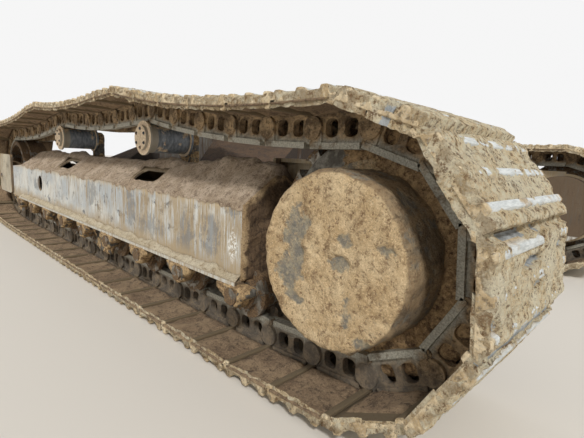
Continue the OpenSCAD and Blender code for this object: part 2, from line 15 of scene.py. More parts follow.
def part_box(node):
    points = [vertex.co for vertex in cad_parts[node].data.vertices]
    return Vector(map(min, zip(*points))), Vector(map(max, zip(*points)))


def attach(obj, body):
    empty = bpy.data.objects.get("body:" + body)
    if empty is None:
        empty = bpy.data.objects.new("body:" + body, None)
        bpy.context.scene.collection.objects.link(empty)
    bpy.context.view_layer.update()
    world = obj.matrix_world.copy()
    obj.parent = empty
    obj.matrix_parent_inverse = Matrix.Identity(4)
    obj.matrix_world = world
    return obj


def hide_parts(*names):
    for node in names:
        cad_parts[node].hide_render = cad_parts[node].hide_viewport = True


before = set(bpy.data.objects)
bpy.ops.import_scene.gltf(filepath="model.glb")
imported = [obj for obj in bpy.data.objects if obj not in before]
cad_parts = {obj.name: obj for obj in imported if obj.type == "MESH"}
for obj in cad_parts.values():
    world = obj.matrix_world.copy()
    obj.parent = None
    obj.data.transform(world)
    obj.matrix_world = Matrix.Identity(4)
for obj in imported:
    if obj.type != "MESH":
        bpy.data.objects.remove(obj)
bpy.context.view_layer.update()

# %% [markdown]
# ## Places taken from the frame
# The driving places are read from the nodes' boxes, so the dressing sits on the solids by itself.
# What no box can tell is typed in where it is first needed: the pitch of the chain here, and the
# sizes of links, shoes, plates and bolts in the cells that build them.

# %% Read the driving places
def middle(node):
    """Middle of a node's box."""
    low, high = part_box(node)
    return (low + high) / 2


TRACK_Y = middle("left_sprocket").y
SPROCKET = middle("left_final_drive")
SPROCKET.y = TRACK_Y
IDLER = middle("left_idler")
SHOE_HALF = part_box("left_track")[1].y - TRACK_Y
PITCH = 0.216
LINKS = 48
TEETH = 21
print("sprocket", [round(v, 4) for v in SPROCKET], "idler", [round(v, 4) for v in IDLER])

# %% [markdown]
# ## The camera
# The photo was taken with a wide phone lens, standing behind the left track and a little above the
# drum. The lens, the place and the three angles below were fitted to the corners of the links, the
# drum's rim and the edges of the frame. The place is counted from the sprocket's centre, in pitches
# of the chain.

# %% Set the camera
LENS_PIXELS = 408.2
PHOTO_WIDTH = 584
YAW, PITCH_DOWN, ROLL = 0.771, 0.150, 0.050
FROM_SPROCKET = Vector((-3.091, 5.004, 1.249))

camera = bpy.data.objects.new("camera", bpy.data.cameras.new("camera"))
bpy.context.scene.collection.objects.link(camera)
camera.data.sensor_width = 36
camera.data.lens = LENS_PIXELS / PHOTO_WIDTH * camera.data.sensor_width
camera.data.clip_start = 0.05

forward = Vector((math.sin(YAW) * math.cos(PITCH_DOWN), -math.cos(YAW) * math.cos(PITCH_DOWN),
                  -math.sin(PITCH_DOWN)))
level = forward.cross(Vector((0, 0, 1))).normalized()
upright = level.cross(forward)
right = math.cos(ROLL) * level + math.sin(ROLL) * upright
above = -math.sin(ROLL) * level + math.cos(ROLL) * upright
stand = SPROCKET + PITCH * FROM_SPROCKET
camera.matrix_world = Matrix.Translation(stand) @ Matrix((right, above, -forward)).transposed().to_4x4()
bpy.context.scene.camera = camera
print("camera at", [round(v, 3) for v in stand], "lens", round(camera.data.lens, 2), "mm")

# %% [markdown]
# ## Tools for modelling
# Blender's operators act on whatever is selected, and the loaded nodes arrive selected. So every
# helper first clears the selection, and then adds, picks or changes exactly one thing. A piece is
# added at its place and its transform is applied at once, which leaves its object at the origin.

# %% Make the selection helpers
def clear():
    """Back to object mode with nothing selected."""
    if bpy.context.mode != "OBJECT":
        bpy.ops.object.mode_set(mode="OBJECT")
    bpy.ops.object.select_all(action="DESELECT")


def take(*pieces):
    """Selects these pieces, the first one active."""
    clear()
    for piece in pieces:
        piece.select_set(True)
    bpy.context.view_layer.objects.active = pieces[0]


def settle(piece):
    """Moves an object's place, turn and size into its mesh."""
    take(piece)
    bpy.ops.object.transform_apply(location=True, rotation=True, scale=True)
    return piece


def box_piece(name, low, high):
    """A cube primitive that fills the box from low to high."""
    clear()
    low, high = Vector(low), Vector(high)
    bpy.ops.mesh.primitive_cube_add(size=1, location=(low + high) / 2, scale=high - low)
    piece = bpy.context.object
    piece.name = name
    return settle(piece)


def rod_piece(name, radius, start, end, sides=24):
    """A cylinder primitive from start to end."""
    clear()
    start, end = Vector(start), Vector(end)
    turn = (end - start).to_track_quat("Z", "Y").to_euler()
    bpy.ops.mesh.primitive_cylinder_add(vertices=sides, radius=radius, depth=(end - start).length,
                                        location=(start + end) / 2, rotation=turn)
    piece = bpy.context.object
    piece.name = name
    return settle(piece)


def modify(piece, kind, **settings):
    """Adds one modifier and applies it."""
    take(piece)
    modifier = piece.modifiers.new(kind.title(), kind)
    for key, value in settings.items():
        setattr(modifier, key, value)
    bpy.ops.object.modifier_apply(modifier=modifier.name)


def combine(piece, other, operation="UNION"):
    """Boolean of two closed pieces; the second one is used up."""
    modify(piece, "BOOLEAN", object=other, operation=operation, solver="EXACT")
    bpy.data.objects.remove(other)


def merge(name, pieces):
    """Joins pieces into one object with that name."""
    take(*pieces)
    if len(pieces) > 1:
        bpy.ops.object.join()
    bpy.context.object.name = name
    return bpy.context.object


def copy_of(piece, name, matrix=Matrix.Identity(4)):
    """A copy with its own mesh, moved by a matrix."""
    twin = piece.copy()
    twin.data = piece.data.copy()
    twin.name = name
    twin.data.transform(matrix)
    bpy.context.scene.collection.objects.link(twin)
    return twin


def mirrored(piece, name):
    """The same piece on the other side of the plane y = 0."""
    twin = copy_of(piece, name, Matrix.Scale(-1, 4, (0, 1, 0)))
    twin.data.flip_normals()
    return twin


def select_faces(piece, test):
    """Selects the faces whose middle and normal pass the test, and opens edit mode."""
    take(piece)
    bpy.ops.object.mode_set(mode="EDIT")
    bpy.ops.mesh.select_mode(type="FACE")
    bpy.ops.mesh.select_all(action="DESELECT")
    bpy.ops.object.mode_set(mode="OBJECT")
    for face in piece.data.polygons:
        face.select = bool(test(face.center, face.normal))
    bpy.ops.object.mode_set(mode="EDIT")


def close_seams(piece):
    """Merges points that lie on each other, as where a spin meets its start."""
    take(piece)
    bpy.ops.object.mode_set(mode="EDIT")
    bpy.ops.mesh.select_all(action="SELECT")
    bpy.ops.mesh.remove_doubles(threshold=1e-5)
    bpy.ops.object.mode_set(mode="OBJECT")
    return piece


def face_out(piece, inside=False):
    """Turns all normals outwards, or inwards."""
    take(piece)
    bpy.ops.object.mode_set(mode="EDIT")
    bpy.ops.mesh.select_all(action="SELECT")
    bpy.ops.mesh.normals_make_consistent(inside=inside)
    bpy.ops.object.mode_set(mode="OBJECT")
    return piece


def smooth(piece):
    """Shades a piece smooth all over."""
    take(piece)
    bpy.ops.object.shade_smooth()
    return piece


def soften(piece, width, segments=2, angle=30):
    """Rounds the sharp edges, as casting and wear do, and shades them smooth."""
    modify(piece, "BEVEL", width=width, segments=segments, limit_method="ANGLE",
           angle_limit=math.radians(angle))
    take(piece)
    bpy.ops.object.shade_smooth_by_angle(angle=math.radians(40))
    return piece


# %% [markdown]
# A turned part is made as on a lathe: one corner of a plane is kept, extruded from point to point
# along the outline, and the line is then spun round its axis. Doubles on the axis are merged
# before the normals are recalculated, because spin can leave a shape inside out.

# %% Make the lathe
def turned(name, outline, at):
    """Spins (radius, y) points round the line along Y through at."""
    clear()
    first = at + Vector((outline[0][0], outline[0][1], 0))
    bpy.ops.mesh.primitive_plane_add(size=0.01, location=first)
    piece = bpy.context.object
    piece.name = name
    settle(piece)
    bpy.ops.object.mode_set(mode="EDIT")
    bpy.ops.mesh.select_all(action="SELECT")
    bpy.ops.mesh.merge(type="CENTER")
    for before, after in zip(outline, outline[1:]):
        step = (after[0] - before[0], after[1] - before[1], 0)
        bpy.ops.mesh.extrude_region_move(TRANSFORM_OT_translate={"value": step})
    bpy.ops.mesh.select_all(action="SELECT")
    bpy.ops.mesh.spin(steps=128, angle=2 * math.pi, center=at, axis=(0, 1, 0))
    return face_out(close_seams(piece))


# %% [markdown]
# ## Tools for dried mud
# Mud isn't a stain: it has thickness, it fills hollows, and it breaks away in flakes. A layer of it
# is a fine grid whose points are pushed by smooth noise. Where the push is negative the layer dips
# under the steel, and the bare patch that shows has the ragged rim of a real flake.

# %% Make the mud helpers
def wobble(point, size, seed=0.0, octaves=3):
    """Smooth noise from about -1 to 1, with lumps as wide as size."""
    place = Vector(point) / size + Vector((17.3, 5.1, 9.7)) * seed
    return noise.fractal(place, 0.7, 2.0, octaves)


def get_points(piece):
    """The piece's vertices as an array."""
    points = np.empty(len(piece.data.vertices) * 3)
    piece.data.vertices.foreach_get("co", points)
    return points.reshape(-1, 3)


def set_points(piece, points):
    """Writes an array back into the vertices."""
    piece.data.vertices.foreach_set("co", np.asarray(points, float).ravel())
    piece.data.update()
    return piece


def mark(piece, name, values):
    """Stores one number for each point, for a material to read."""
    layer = piece.data.attributes.get(name) or piece.data.attributes.new(name, "FLOAT", "POINT")
    layer.data.foreach_set("value", np.asarray(values, float))
    return piece


def mud_sheet(name, length, width, cell, skirt):
    """A flat grid in X and Y with a skirt that goes down all round."""
    clear()
    columns, rows = max(2, round(length / cell)), max(2, round(width / cell))
    bpy.ops.mesh.primitive_grid_add(x_subdivisions=columns, y_subdivisions=rows, size=1)
    piece = bpy.context.object
    piece.name = name
    piece.scale = (length, width, 1)
    settle(piece)
    bpy.ops.object.mode_set(mode="EDIT")
    bpy.ops.mesh.select_all(action="SELECT")
    bpy.ops.mesh.region_to_loop()
    bpy.ops.mesh.extrude_edges_move(TRANSFORM_OT_translate={"value": (0, 0, -skirt)})
    bpy.ops.object.mode_set(mode="OBJECT")
    return piece


# %% [markdown]
# ## Finishes
# Every finish is a small network of nodes on object coordinates. The class below keeps such a
# network short: each method adds one node and gives back its output. Colours are written as they
# are read from the photo, in 8-bit values, and are made linear on the way in.

# %% Make the finish builder
def shade(red, green, blue):
    """Linear colour of an 8-bit one."""
    parts = [v / 255 for v in (red, green, blue)]
    return [p / 12.92 if p <= 0.04045 else ((p + 0.055) / 1.055) ** 2.4 for p in parts] + [1.0]


class Finish:
    """A material under construction."""

    def __init__(self, name):
        self.material = bpy.data.materials.new(name)
        self.material.use_nodes = True
        self.tree = self.material.node_tree
        self.surface = self.tree.nodes["Principled BSDF"]
        self.place = self.add("TexCoord").outputs["Object"]
        self.facing = self.split(self.add("NewGeometry").outputs["Normal"])

    def add(self, kind, **settings):
        made = self.tree.nodes.new("ShaderNode" + kind)
        for key, value in settings.items():
            setattr(made, key, value)
        return made

    def feed(self, socket, value):
        if isinstance(value, bpy.types.NodeSocket):
            self.tree.links.new(value, socket)
        else:
            socket.default_value = value

    def split(self, vector):
        made = self.add("SeparateXYZ")
        self.feed(made.inputs[0], vector)
        return made.outputs

    def stretched(self, x, y, z):
        """Object coordinates, scaled for each axis."""
        made = self.add("Mapping")
        self.feed(made.inputs["Vector"], self.place)
        made.inputs["Scale"].default_value = (x, y, z)
        return made.outputs["Vector"]

    def noise(self, scale, detail=4, rough=0.55, at=None, twist=0.0):
        made = self.add("TexNoise")
        self.feed(made.inputs["Vector"], at or self.place)
        made.inputs["Scale"].default_value = scale
        made.inputs["Detail"].default_value = detail
        made.inputs["Roughness"].default_value = rough
        made.inputs["Distortion"].default_value = twist
        return made.outputs["Fac"]

    def cells(self, scale):
        """Distance to the nearest of many scattered points."""
        made = self.add("TexVoronoi")
        self.feed(made.inputs["Vector"], self.place)
        made.inputs["Scale"].default_value = scale
        return made.outputs["Distance"]

    def step(self, value, low, high, out_low=0.0, out_high=1.0):
        """Maps low..high to out_low..out_high, with soft ends."""
        made = self.add("MapRange", interpolation_type="SMOOTHSTEP")
        self.feed(made.inputs["Value"], value)
        for socket, number in zip(list(made.inputs)[1:5], (low, high, out_low, out_high)):
            socket.default_value = number
        return made.outputs["Result"]

    def maths(self, operation, first, second=0.0):
        made = self.add("Math", operation=operation)
        self.feed(made.inputs[0], first)
        self.feed(made.inputs[1], second)
        return made.outputs[0]

    def both(self, first, second):
        return self.maths("MULTIPLY", first, second)

    def minus(self, first, second):
        return self.maths("SUBTRACT", first, second)

    def plus(self, total, *others):
        for other in others:
            total = self.maths("ADD", total, other)
        return total

    def size(self, value):
        """The value without its sign."""
        return self.maths("ABSOLUTE", value)

    def ragged(self, value, noise, amount):
        """Adds noise to a value, which tears the edge of a step that is made from it."""
        return self.plus(value, self.both(self.minus(noise, 0.5), amount))

    def mix(self, amount, first, second):
        """Blends two colours."""
        made = self.add("Mix", data_type="RGBA")
        self.feed(made.inputs["Factor"], amount)
        self.feed(made.inputs[6], first)
        self.feed(made.inputs[7], second)
        return made.outputs[2]

    def layers(self, colour, *coats):
        """Lays coats, each an (amount, colour), over a colour, one after the other."""
        for amount, coat in coats:
            colour = self.mix(amount, colour, coat)
        return colour

    def blend(self, amount, first, second):
        """Blends two numbers."""
        made = self.add("Mix", data_type="FLOAT")
        self.feed(made.inputs["Factor"], amount)
        self.feed(made.inputs[2], first)
        self.feed(made.inputs[3], second)
        return made.outputs[0]

    def mark(self, name):
        return self.add("Attribute", attribute_name=name).outputs["Fac"]

    def done(self, colour, rough, metal=0.0, relief=None, depth=0.002):
        """Feeds the surface and gives back the material; depth is the relief's, in metres."""
        self.feed(self.surface.inputs["Base Color"], colour)
        self.feed(self.surface.inputs["Roughness"], rough)
        self.feed(self.surface.inputs["Metallic"], metal)
        if relief is not None:
            bump = self.add("Bump")
            self.feed(bump.inputs["Height"], relief)
            bump.inputs["Distance"].default_value = depth
            self.feed(self.surface.inputs["Normal"], bump.outputs["Normal"])
        return self.material


def paint_with(material, *pieces):
    """Gives pieces that one material."""
    for piece in pieces:
        piece.data.materials.clear()
        piece.data.materials.append(material)


# %% [markdown]
# Dried mud is straw-coloured where it is thin and dry, and brown where it is damp. Four sizes of
# noise give it that: clods, lumps, crumbs and grit. All but the clods drive the bump as well, so that
# the dark spots are the low ones: the brown in the hollows between crumbs is partly painted shade,
# and the palest crumbs are partly painted highlights.

# %% Mix the dried mud
# how far the palest crumbs, partly painted highlights, are lifted above the pale mud
BRIGHTEST = 1.28


def mud_colours(finish, pale, mean, damp, sunlit_contrast=0.0):
    """Colour and relief of dried mud, for several finishes; the last argument adds painted shade and highlights
    in sun.
    """
    clods = finish.noise(9, 6, 0.65, twist=0.2)
    lumps = finish.noise(26, 5, 0.7, twist=0.3)
    crumbs = finish.noise(62, 6, 0.75)
    grit = finish.noise(210, 4, 0.75)
    # one factor for all three channels, so that the pale crumbs, partly painted highlights, keep the mud's hue
    lift = min(BRIGHTEST, 1 / max(pale[:3]))
    light = [v * lift for v in pale[:3]] + [1]
    colour = finish.layers(
        mean,
        (finish.step(clods, 0.36, 0.66), pale),
        (finish.step(lumps, 0.50, 0.33, 0, 0.75), damp),
        (finish.step(crumbs, 0.48 - 0.02 * sunlit_contrast, 0.35 + 0.05 * sunlit_contrast, 0, 0.85), damp),
        (finish.step(grit, 0.44, 0.32, 0, 0.7), damp),
        (finish.step(grit, 0.53, 0.66, 0, 0.75), light),
        (finish.step(crumbs, 0.57 - 0.05 * sunlit_contrast, 0.68 - 0.11 * sunlit_contrast, 0, 0.5 + 0.45 * sunlit_contrast), light))
    relief = finish.plus(finish.both(crumbs, 0.9), finish.both(grit, 0.5), finish.both(lumps, 1.4),
                         finish.step(finish.cells(95), 0.0, 0.5, 0, 0.15))
    return colour, relief


def mud_finish(name, pale, mean, damp, inboard=None):
    """Dried mud; inboard is a darker colour painted over the inboard half of a track frame, as painted shade.
    """
    finish = Finish(name)
    colour, relief = mud_colours(finish, shade(*pale), shade(*mean), shade(*damp))
    if inboard:
        # painted shade: the inboard half of a roof is blended towards the darker colour
        across = finish.ragged(finish.size(finish.split(finish.place)[1]), finish.noise(6), 0.10)
        inner = finish.step(across, TRACK_Y + 0.01, TRACK_Y - 0.06, 0, 0.85)
        colour = finish.mix(inner, colour, shade(*inboard))
    return finish.done(colour, 0.95, relief=relief, depth=0.011)


SHADE_MUD = mud_finish("shade_mud", (168, 143, 112), (134, 111, 86), (80, 64, 50))
# the darker colour on the roof's inboard half is painted shade
ROOF_MUD = mud_finish("roof_mud", (206, 186, 162), (172, 150, 124), (112, 92, 74), inboard=(104, 84, 68))
# colour of the mud at the ends of the shoes, and the heights between which the upper run begins
SHOE_END = (150, 118, 78)
UPPER_RUN = (0.86, 0.95)


def coated(name, pale, mean, damp, steel, steel_dark, depth=0.009):
    """Mud where the number mud is high, and scratched steel where it is low.

    The mud is browner at the ends of the shoes, and a little darker on the upper run.
    """
    finish = Finish(name)
    mud_colour, relief = mud_colours(finish, shade(*pale), shade(*mean), shade(*damp), 1.0)
    y, z = finish.split(finish.place)[1:]
    from_middle = finish.size(finish.minus(finish.size(y), TRACK_Y))
    from_middle = finish.ragged(from_middle, finish.noise(22, 5, 0.7), 0.12)
    at_end = finish.step(from_middle, SHOE_HALF - 0.018, SHOE_HALF + 0.004, 0, 0.55)
    mud_colour = finish.mix(at_end, mud_colour, shade(*SHOE_END))
    mud_colour = finish.mix(finish.step(z, *UPPER_RUN, 0, 0.18), mud_colour, shade(*damp))
    bare = finish.mix(finish.step(finish.noise(35, 5, 0.7), 0.4, 0.6), shade(*steel_dark), shade(*steel))
    covered = finish.step(finish.ragged(finish.mark("mud"), finish.noise(120, 4, 0.8), 1.3), 0.35, 0.6)
    colour = finish.mix(covered, bare, mud_colour)
    return finish.done(colour, finish.blend(covered, 0.5, 0.95), relief=relief, depth=depth)


SHOE_MUD = coated("shoe_mud", (255, 243, 211), (243, 216, 168), (126, 92, 55),
                  (222, 226, 226), (184, 188, 188), 0.023)
print("finishes:", [m.name for m in bpy.data.materials if m.name.endswith("_mud")])

# %% [markdown]
# ## The path of the chain
# The loop is rebuilt here with the same rule as the solids: a half turn round the sprocket, the
# flat run on the ground with a whole number of links, a half turn round the idler, and an upper
# run that sags between the carrier rollers. Each link then gets a matrix with X along the chain,
# Y outboard and Z away from the loop's middle.

# %% Work out where each link lies
# from a pin's centre: the running face of the rail, and the shoe's inner face; then the shoe itself
RAIL_DROP, PIN_TO_SHOE, SHOE_T, GROUSER_H = 0.065, 0.050, 0.012, 0.028
PIN_LOW = PIN_TO_SHOE + SHOE_T + GROUSER_H
FLAT_LINKS = 15
# from the sprocket's centre: the carrier rollers ahead of it, and the pins' height over them
CARRIERS = (1.340, 2.650)
CARRIER_RUN, SAG = 0.478, 0.038
IDLER_TREAD, CLEARANCE = 0.290, 0.0003
SPROCKET_R = PITCH / 2 / math.sin(2 * math.pi / TEETH)
IDLER_R = math.hypot(IDLER_TREAD + RAIL_DROP + CLEARANCE, PITCH / 2)


def half_turn(radius):
    """Links in half a turn."""
    return math.pi / (2 * math.asin(PITCH / 2 / radius))


def chain_legs():
    """(length in links, function of 0..1) for each leg, seen from the sprocket's centre."""
    low = PIN_LOW - SPROCKET.z
    ahead = Vector((IDLER.x - SPROCKET.x, IDLER.z - SPROCKET.z))
    half = half_turn(SPROCKET_R)
    rise = (math.ceil(half + 1) - half) * PITCH
    corners = [Vector((0, -SPROCKET_R)), Vector((math.sqrt(rise ** 2 - (low + SPROCKET_R) ** 2), low))]
    corners.append(corners[1] + Vector((FLAT_LINKS * PITCH, 0)))
    corners.append(ahead - Vector((0, IDLER_R)))
    top = [ahead + Vector((0, IDLER_R)), Vector((CARRIERS[1], CARRIER_RUN)),
           Vector((CARRIERS[0], CARRIER_RUN)), Vector((0, SPROCKET_R))]

    def arc(centre, radius, start):
        return lambda u: centre + radius * Vector((math.cos(start + math.pi * u),
                                                   math.sin(start + math.pi * u)))

    def run(a, b, sag=0.0):
        return lambda u: a.lerp(b, u) - Vector((0, 4 * sag * u * (1 - u)))

    legs = [(half, arc(Vector((0, 0)), SPROCKET_R, math.pi / 2))]
    legs += [((b - a).length / PITCH, run(a, b)) for a, b in zip(corners, corners[1:])]
    legs.append((half_turn(IDLER_R), arc(ahead, IDLER_R, -math.pi / 2)))
    for a, b in zip(top, top[1:]):
        span = (b - a).length
        legs.append(((span + 8 * SAG ** 2 / 3 / span) / PITCH, run(a, b, SAG)))
    return legs


def chain_pins():
    """The pins' places along the loop, from the top of the sprocket backwards."""
    legs, pins = chain_legs(), []
    for index in range(LINKS):
        t = index
        for length, place in legs:
            if t <= length:
                break
            t -= length
        pins.append(place(min(1, t / length)))
    return pins


pins = chain_pins()
link_frames = []
for here, after in zip(pins, pins[1:] + pins[:1]):
    along = (after - here).normalized()
    half_way = (here + after) / 2
    back, out = Vector((-along.x, 0, -along.y)), Vector((along.y, 0, -along.x))
    place = Vector((SPROCKET.x + half_way.x, TRACK_Y, SPROCKET.z + half_way.y))
    turn = Matrix((back, Vector((0, 1, 0)), out)).transposed().to_4x4()
    link_frames.append(Matrix.Translation(place) @ turn)
closing_gap = abs((pins[0] - pins[-1]).length - PITCH)
print("links:", len(link_frames), "closing gap", round(closing_gap * 1000, 2), "mm")

# %% [markdown]
# ## One link of the chain
# A link is a forging with a running rail on the inside, a pad for the shoe on the outside, two
# D-shaped windows and a strut between them, and an eye at each end. One end of each link lies
# inside its neighbour and the other outside it, which is why worn rails show as overlapping
# strips. It is built from blocks and rods joined by booleans, bevelled once, and mirrored for the
# other side of the chain.

# %% Forge the link
RAIL_IN, RAIL_OUT, WORN_Y = 0.060, 0.103, 0.073
RAIL_TOP = -0.045
HALF = PITCH / 2
EYE_R = 0.038
# the round plug in the rail, under each eye
PLUG_R, PLUG_Z = 0.0135, -0.048


def cut_across(piece, places, axis=0):
    """Adds a line round the piece at each place along the axis."""
    normal = Vector([1.0 if i == axis else 0.0 for i in range(3)])
    for place in places:
        take(piece)
        bpy.ops.object.mode_set(mode="EDIT")
        bpy.ops.mesh.select_all(action="SELECT")
        bpy.ops.mesh.bisect(plane_co=normal * place, plane_no=normal)
        bpy.ops.object.mode_set(mode="OBJECT")
    return piece


def forge_link():
    """One side of a link, as blocks and rods that are joined and then bevelled."""
    link = box_piece("link", (-0.078, RAIL_IN, -RAIL_DROP), (0.074, RAIL_OUT, RAIL_TOP))
    parts = [
        box_piece("rail_tip", (0.060, 0.0775, -RAIL_DROP), (HALF + 0.004, RAIL_OUT, RAIL_TOP)),
        box_piece("rail_tip", (-HALF - 0.004, RAIL_IN, -RAIL_DROP), (-0.060, 0.0755, RAIL_TOP)),
        box_piece("web", (-HALF, 0.063, -0.050), (HALF, 0.091, 0.049)),
        box_piece("eye_foot", (0.070, 0.0790, -0.055), (HALF + 0.002, 0.0990, -0.010)),
        box_piece("eye_foot", (-HALF - 0.002, 0.0620, -0.055), (-0.070, 0.0745, -0.010)),
        box_piece("pad", (-0.082, 0.0515, 0.034), (0.082, 0.1015, 0.0495)),
        rod_piece("eye", EYE_R, (HALF, 0.0775, 0), (HALF, RAIL_OUT + 0.001, 0), 20),
        rod_piece("eye", EYE_R, (-HALF, RAIL_IN + 0.001, 0), (-HALF, 0.0755, 0), 20),
    ]
    for part in parts:
        combine(link, part)
    for side in (-1, 1):
        x = sorted((side * 0.013, side * 0.061))
        window = soften(box_piece("window", (x[0], 0.03, -0.028), (x[1], 0.12, 0.028)), 0.017, 4)
        combine(link, window, "DIFFERENCE")
    return cut_across(soften(link, 0.003, 1), (WORN_Y,), 1)


link = forge_link()
other = mirrored(link, "other_side")
bushing = rod_piece("bushing", 0.031, (HALF, -0.062, 0), (HALF, 0.062, 0), 16)
pin_end = rod_piece("pin_end", 0.019, (-HALF, -0.1055, 0), (-HALF, 0.1055, 0), 12)
plugs = [rod_piece("plug", PLUG_R, (HALF, y, PLUG_Z), (HALF, y + 0.034, PLUG_Z), 10) for y in (-0.097, 0.063)]
link_pair = merge("link_pair", [link, other, bushing, soften(pin_end, 0.003, 1)] + plugs)
points = get_points(link_pair)
on_rail = (points[:, 2] < RAIL_TOP + 0.001) & (np.abs(points[:, 1]) > WORN_Y - 0.001)
on_eye = points[:, 0] > HALF + 0.006
on_plug = np.hypot(points[:, 0] - HALF, points[:, 2] - PLUG_Z) < PLUG_R + 0.0005
mark(link_pair, "worn", on_rail & ~on_eye & ~on_plug)
print("link pair:", len(link_pair.data.polygons), "faces")

# %% [markdown]
# ## One shoe
# A triple-grouser shoe starts as a thin block. Bisecting it across gives the lines at which each
# grouser starts and where its tip is, and the strips between those lines are then moved outwards.
# The leading lip bends inwards and lies under the trailing edge of the shoe before it, so that the
# loop stays closed when it bends round the sprocket.

# %% Roll the shoe
GROUSERS = (-0.096, -0.012, 0.071)
FOOT, TIP = 0.0195, 0.0095
WORN_H, LIP_DROP = 0.024, 0.0135
STEEL_HALF = SHOE_HALF - 0.006
TRAIL, BEND, LEAD = -0.134, 0.096, 0.121
PLATE = PIN_TO_SHOE + SHOE_T
BOLT_X, BOLT_Y = 0.041, 0.077


def roll_shoe():
    """A plate with three worn grousers and a leading lip that is bent inwards."""
    shoe = box_piece("shoe", (TRAIL, -STEEL_HALF, PIN_TO_SHOE), (LEAD, STEEL_HALF, PLATE))
    lines = [g + e for g in GROUSERS for e in (-FOOT, -TIP, TIP, FOOT)]
    cut_across(shoe, lines + [BEND - 0.001, BEND + 0.005])
    cut_across(shoe, [side * (STEEL_HALF - inset) for side in (-1, 1) for inset in (0.012, 0.024)], 1)
    select_faces(shoe, lambda c, n: n.z > 0.9 and min(abs(c.x - g) for g in GROUSERS) < TIP)
    bpy.ops.transform.translate(value=(0, 0, WORN_H))
    bpy.ops.mesh.select_all(action="DESELECT")
    bpy.ops.object.mode_set(mode="OBJECT")
    for vertex in shoe.data.vertices:
        vertex.select = vertex.co.x > BEND + 0.003
    take(shoe)
    bpy.ops.object.mode_set(mode="EDIT")
    bpy.ops.mesh.select_mode(type="VERT")
    bpy.ops.transform.translate(value=(0, 0, -LIP_DROP))
    bpy.ops.object.mode_set(mode="OBJECT")
    soften(shoe, 0.0025, 1, 25)
    points = get_points(shoe)
    worn = np.clip((points[:, 2] - PLATE - WORN_H * 0.62) / (WORN_H * 0.3), 0, 1)
    worn *= np.where(np.abs(points[:, 1]) > STEEL_HALF - 0.018, 0, 1)
    # painted shade: the inner face of the plate gets -1, which the finish paints dark
    worn[(points[:, 2] < PIN_TO_SHOE + 0.004) & (np.abs(points[:, 1]) < STEEL_HALF - 0.005)] = -1
    return mark(shoe, "worn", worn)


def bolt_heads():
    """Four square-shouldered bolts that hold a shoe to its pair of links."""
    heads = []
    for x in (-BOLT_X, BOLT_X):
        for y in (-BOLT_Y, BOLT_Y):
            head = rod_piece("bolt", 0.017, (x, y, PLATE - 0.002), (x, y, PLATE + 0.012), 6)
            heads.append(soften(head, 0.0015, 1))
    return heads


shoe = roll_shoe()
for head in bolt_heads():
    mark(head, "worn", [0.0] * len(head.data.vertices))
    shoe = merge("shoe", [shoe, head])
print("shoe:", len(shoe.data.polygons), "faces")

# %% [markdown]
# Both are copied into every link's frame. The right track is the mirror image of the left one.
# Each piece is then told which body it rides on, and which of the imported nodes it stands for.

# %% Lay the chain and the shoes round the loop
def lay(piece, name):
    """Copies a piece into every link's frame and joins the copies."""
    return merge(name, [copy_of(piece, name, matrix) for matrix in link_frames])


def fasten(piece, slot, *nodes):
    """Makes a piece ride on the lower structure and stand for its nodes."""
    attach(piece, "lower_structure")
    if nodes:
        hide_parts(*nodes)
    return piece


left_chain = lay(link_pair, "left_chain")
left_shoes = lay(shoe, "left_shoes")
right_chain = mirrored(left_chain, "right_chain")
right_shoes = mirrored(left_shoes, "right_shoes")
for start in (link_pair, shoe):
    bpy.data.objects.remove(start)
for piece, node in ((left_chain, "left_track"), (left_shoes, "left_track"),
                    (right_chain, "right_track"), (right_shoes, "right_track")):
    fasten(piece, "track_steel", node)
print("chain:", len(left_chain.data.polygons), "faces a side; shoes:", len(left_shoes.data.polygons))

# %% [markdown]
# ## Mud on the shoes
# The space between the grousers is packed with dried mud almost up to their tips. Each shoe gets
# its own sheet: a grid whose height follows lumpy noise, which is scraped down to the steel along
# some of the grousers and has broken off in a few flakes. The sheets on the sprocket, which the
# photo shows from close by, have a finer grid than those far round the loop.

# %% Pack mud between the grousers
# for links round the sprocket: how far the mud lies over (+) or under (-) each grouser's tip
SCRAPED = {0: (0.006, 0.006, 0.005), 1: (-0.005, 0.0010, 0.003), 2: (0.007, 0.0055, -0.002),
           3: (0.003, 0.002, -0.014), 4: (0.000, 0.000, -0.003)}
# lumps that bury a part of a grouser, for each link: grouser, y, reach along y, height
BURIED = {
    1: ((1, 0.115, 0.025, 0.006), (1, 0.26, 0.05, 0.007), (2, 0.24, 0.05, 0.006), (0, -0.02, 0.015, 0.006)),
    2: ((2, -0.15, 0.09, 0.014), (2, 0.27, 0.03, 0.008)),
    3: ((2, 0.29, 0.02, 0.010),),
}
# flakes that fell off down to the plate, for each link: x, y, half length, half width
FLAKES = {
    0: ((-0.060, 0.262, 0.026, 0.030), (0.020, 0.200, 0.022, 0.070), (-0.060, 0.080, 0.014, 0.040)),
    1: ((0.092, 0.200, 0.012, 0.060),),
    2: ((0.104, 0.160, 0.034, 0.085), (0.106, -0.010, 0.024, 0.026), (-0.070, 0.272, 0.030, 0.020),
        (-0.030, -0.020, 0.014, 0.040), (-0.141, 0.030, 0.029, 0.255), (0.045, -0.235, 0.018, 0.050),
        (0.030, 0.020, 0.012, 0.090)),
    3: ((0.104, 0.000, 0.012, 0.300), (0.040, 0.060, 0.018, 0.060)),
    20: ((0.030, 0.050, 0.022, 0.070),),
    28: ((-0.040, -0.100, 0.022, 0.060),),
    40: ((0.030, 0.120, 0.022, 0.060),),
}
# how far the mud hangs down over the ends of the shoes, for links round the sprocket
HANG = {0: 0.012, 1: 0.011, 2: 0.000, 3: 0.002, 4: 0.004}
# links round the rear of the sprocket, and the one whose mud thins out towards its trailing edge
WRAPPED = range(0, 5)
THINNED = 2
# a point that is nearer than this to the rim of a sheet lies on it
ON_EDGE = 1e-4


def clamped(value):
    """The value, kept between 0 and 1."""
    return min(1, max(0, value))


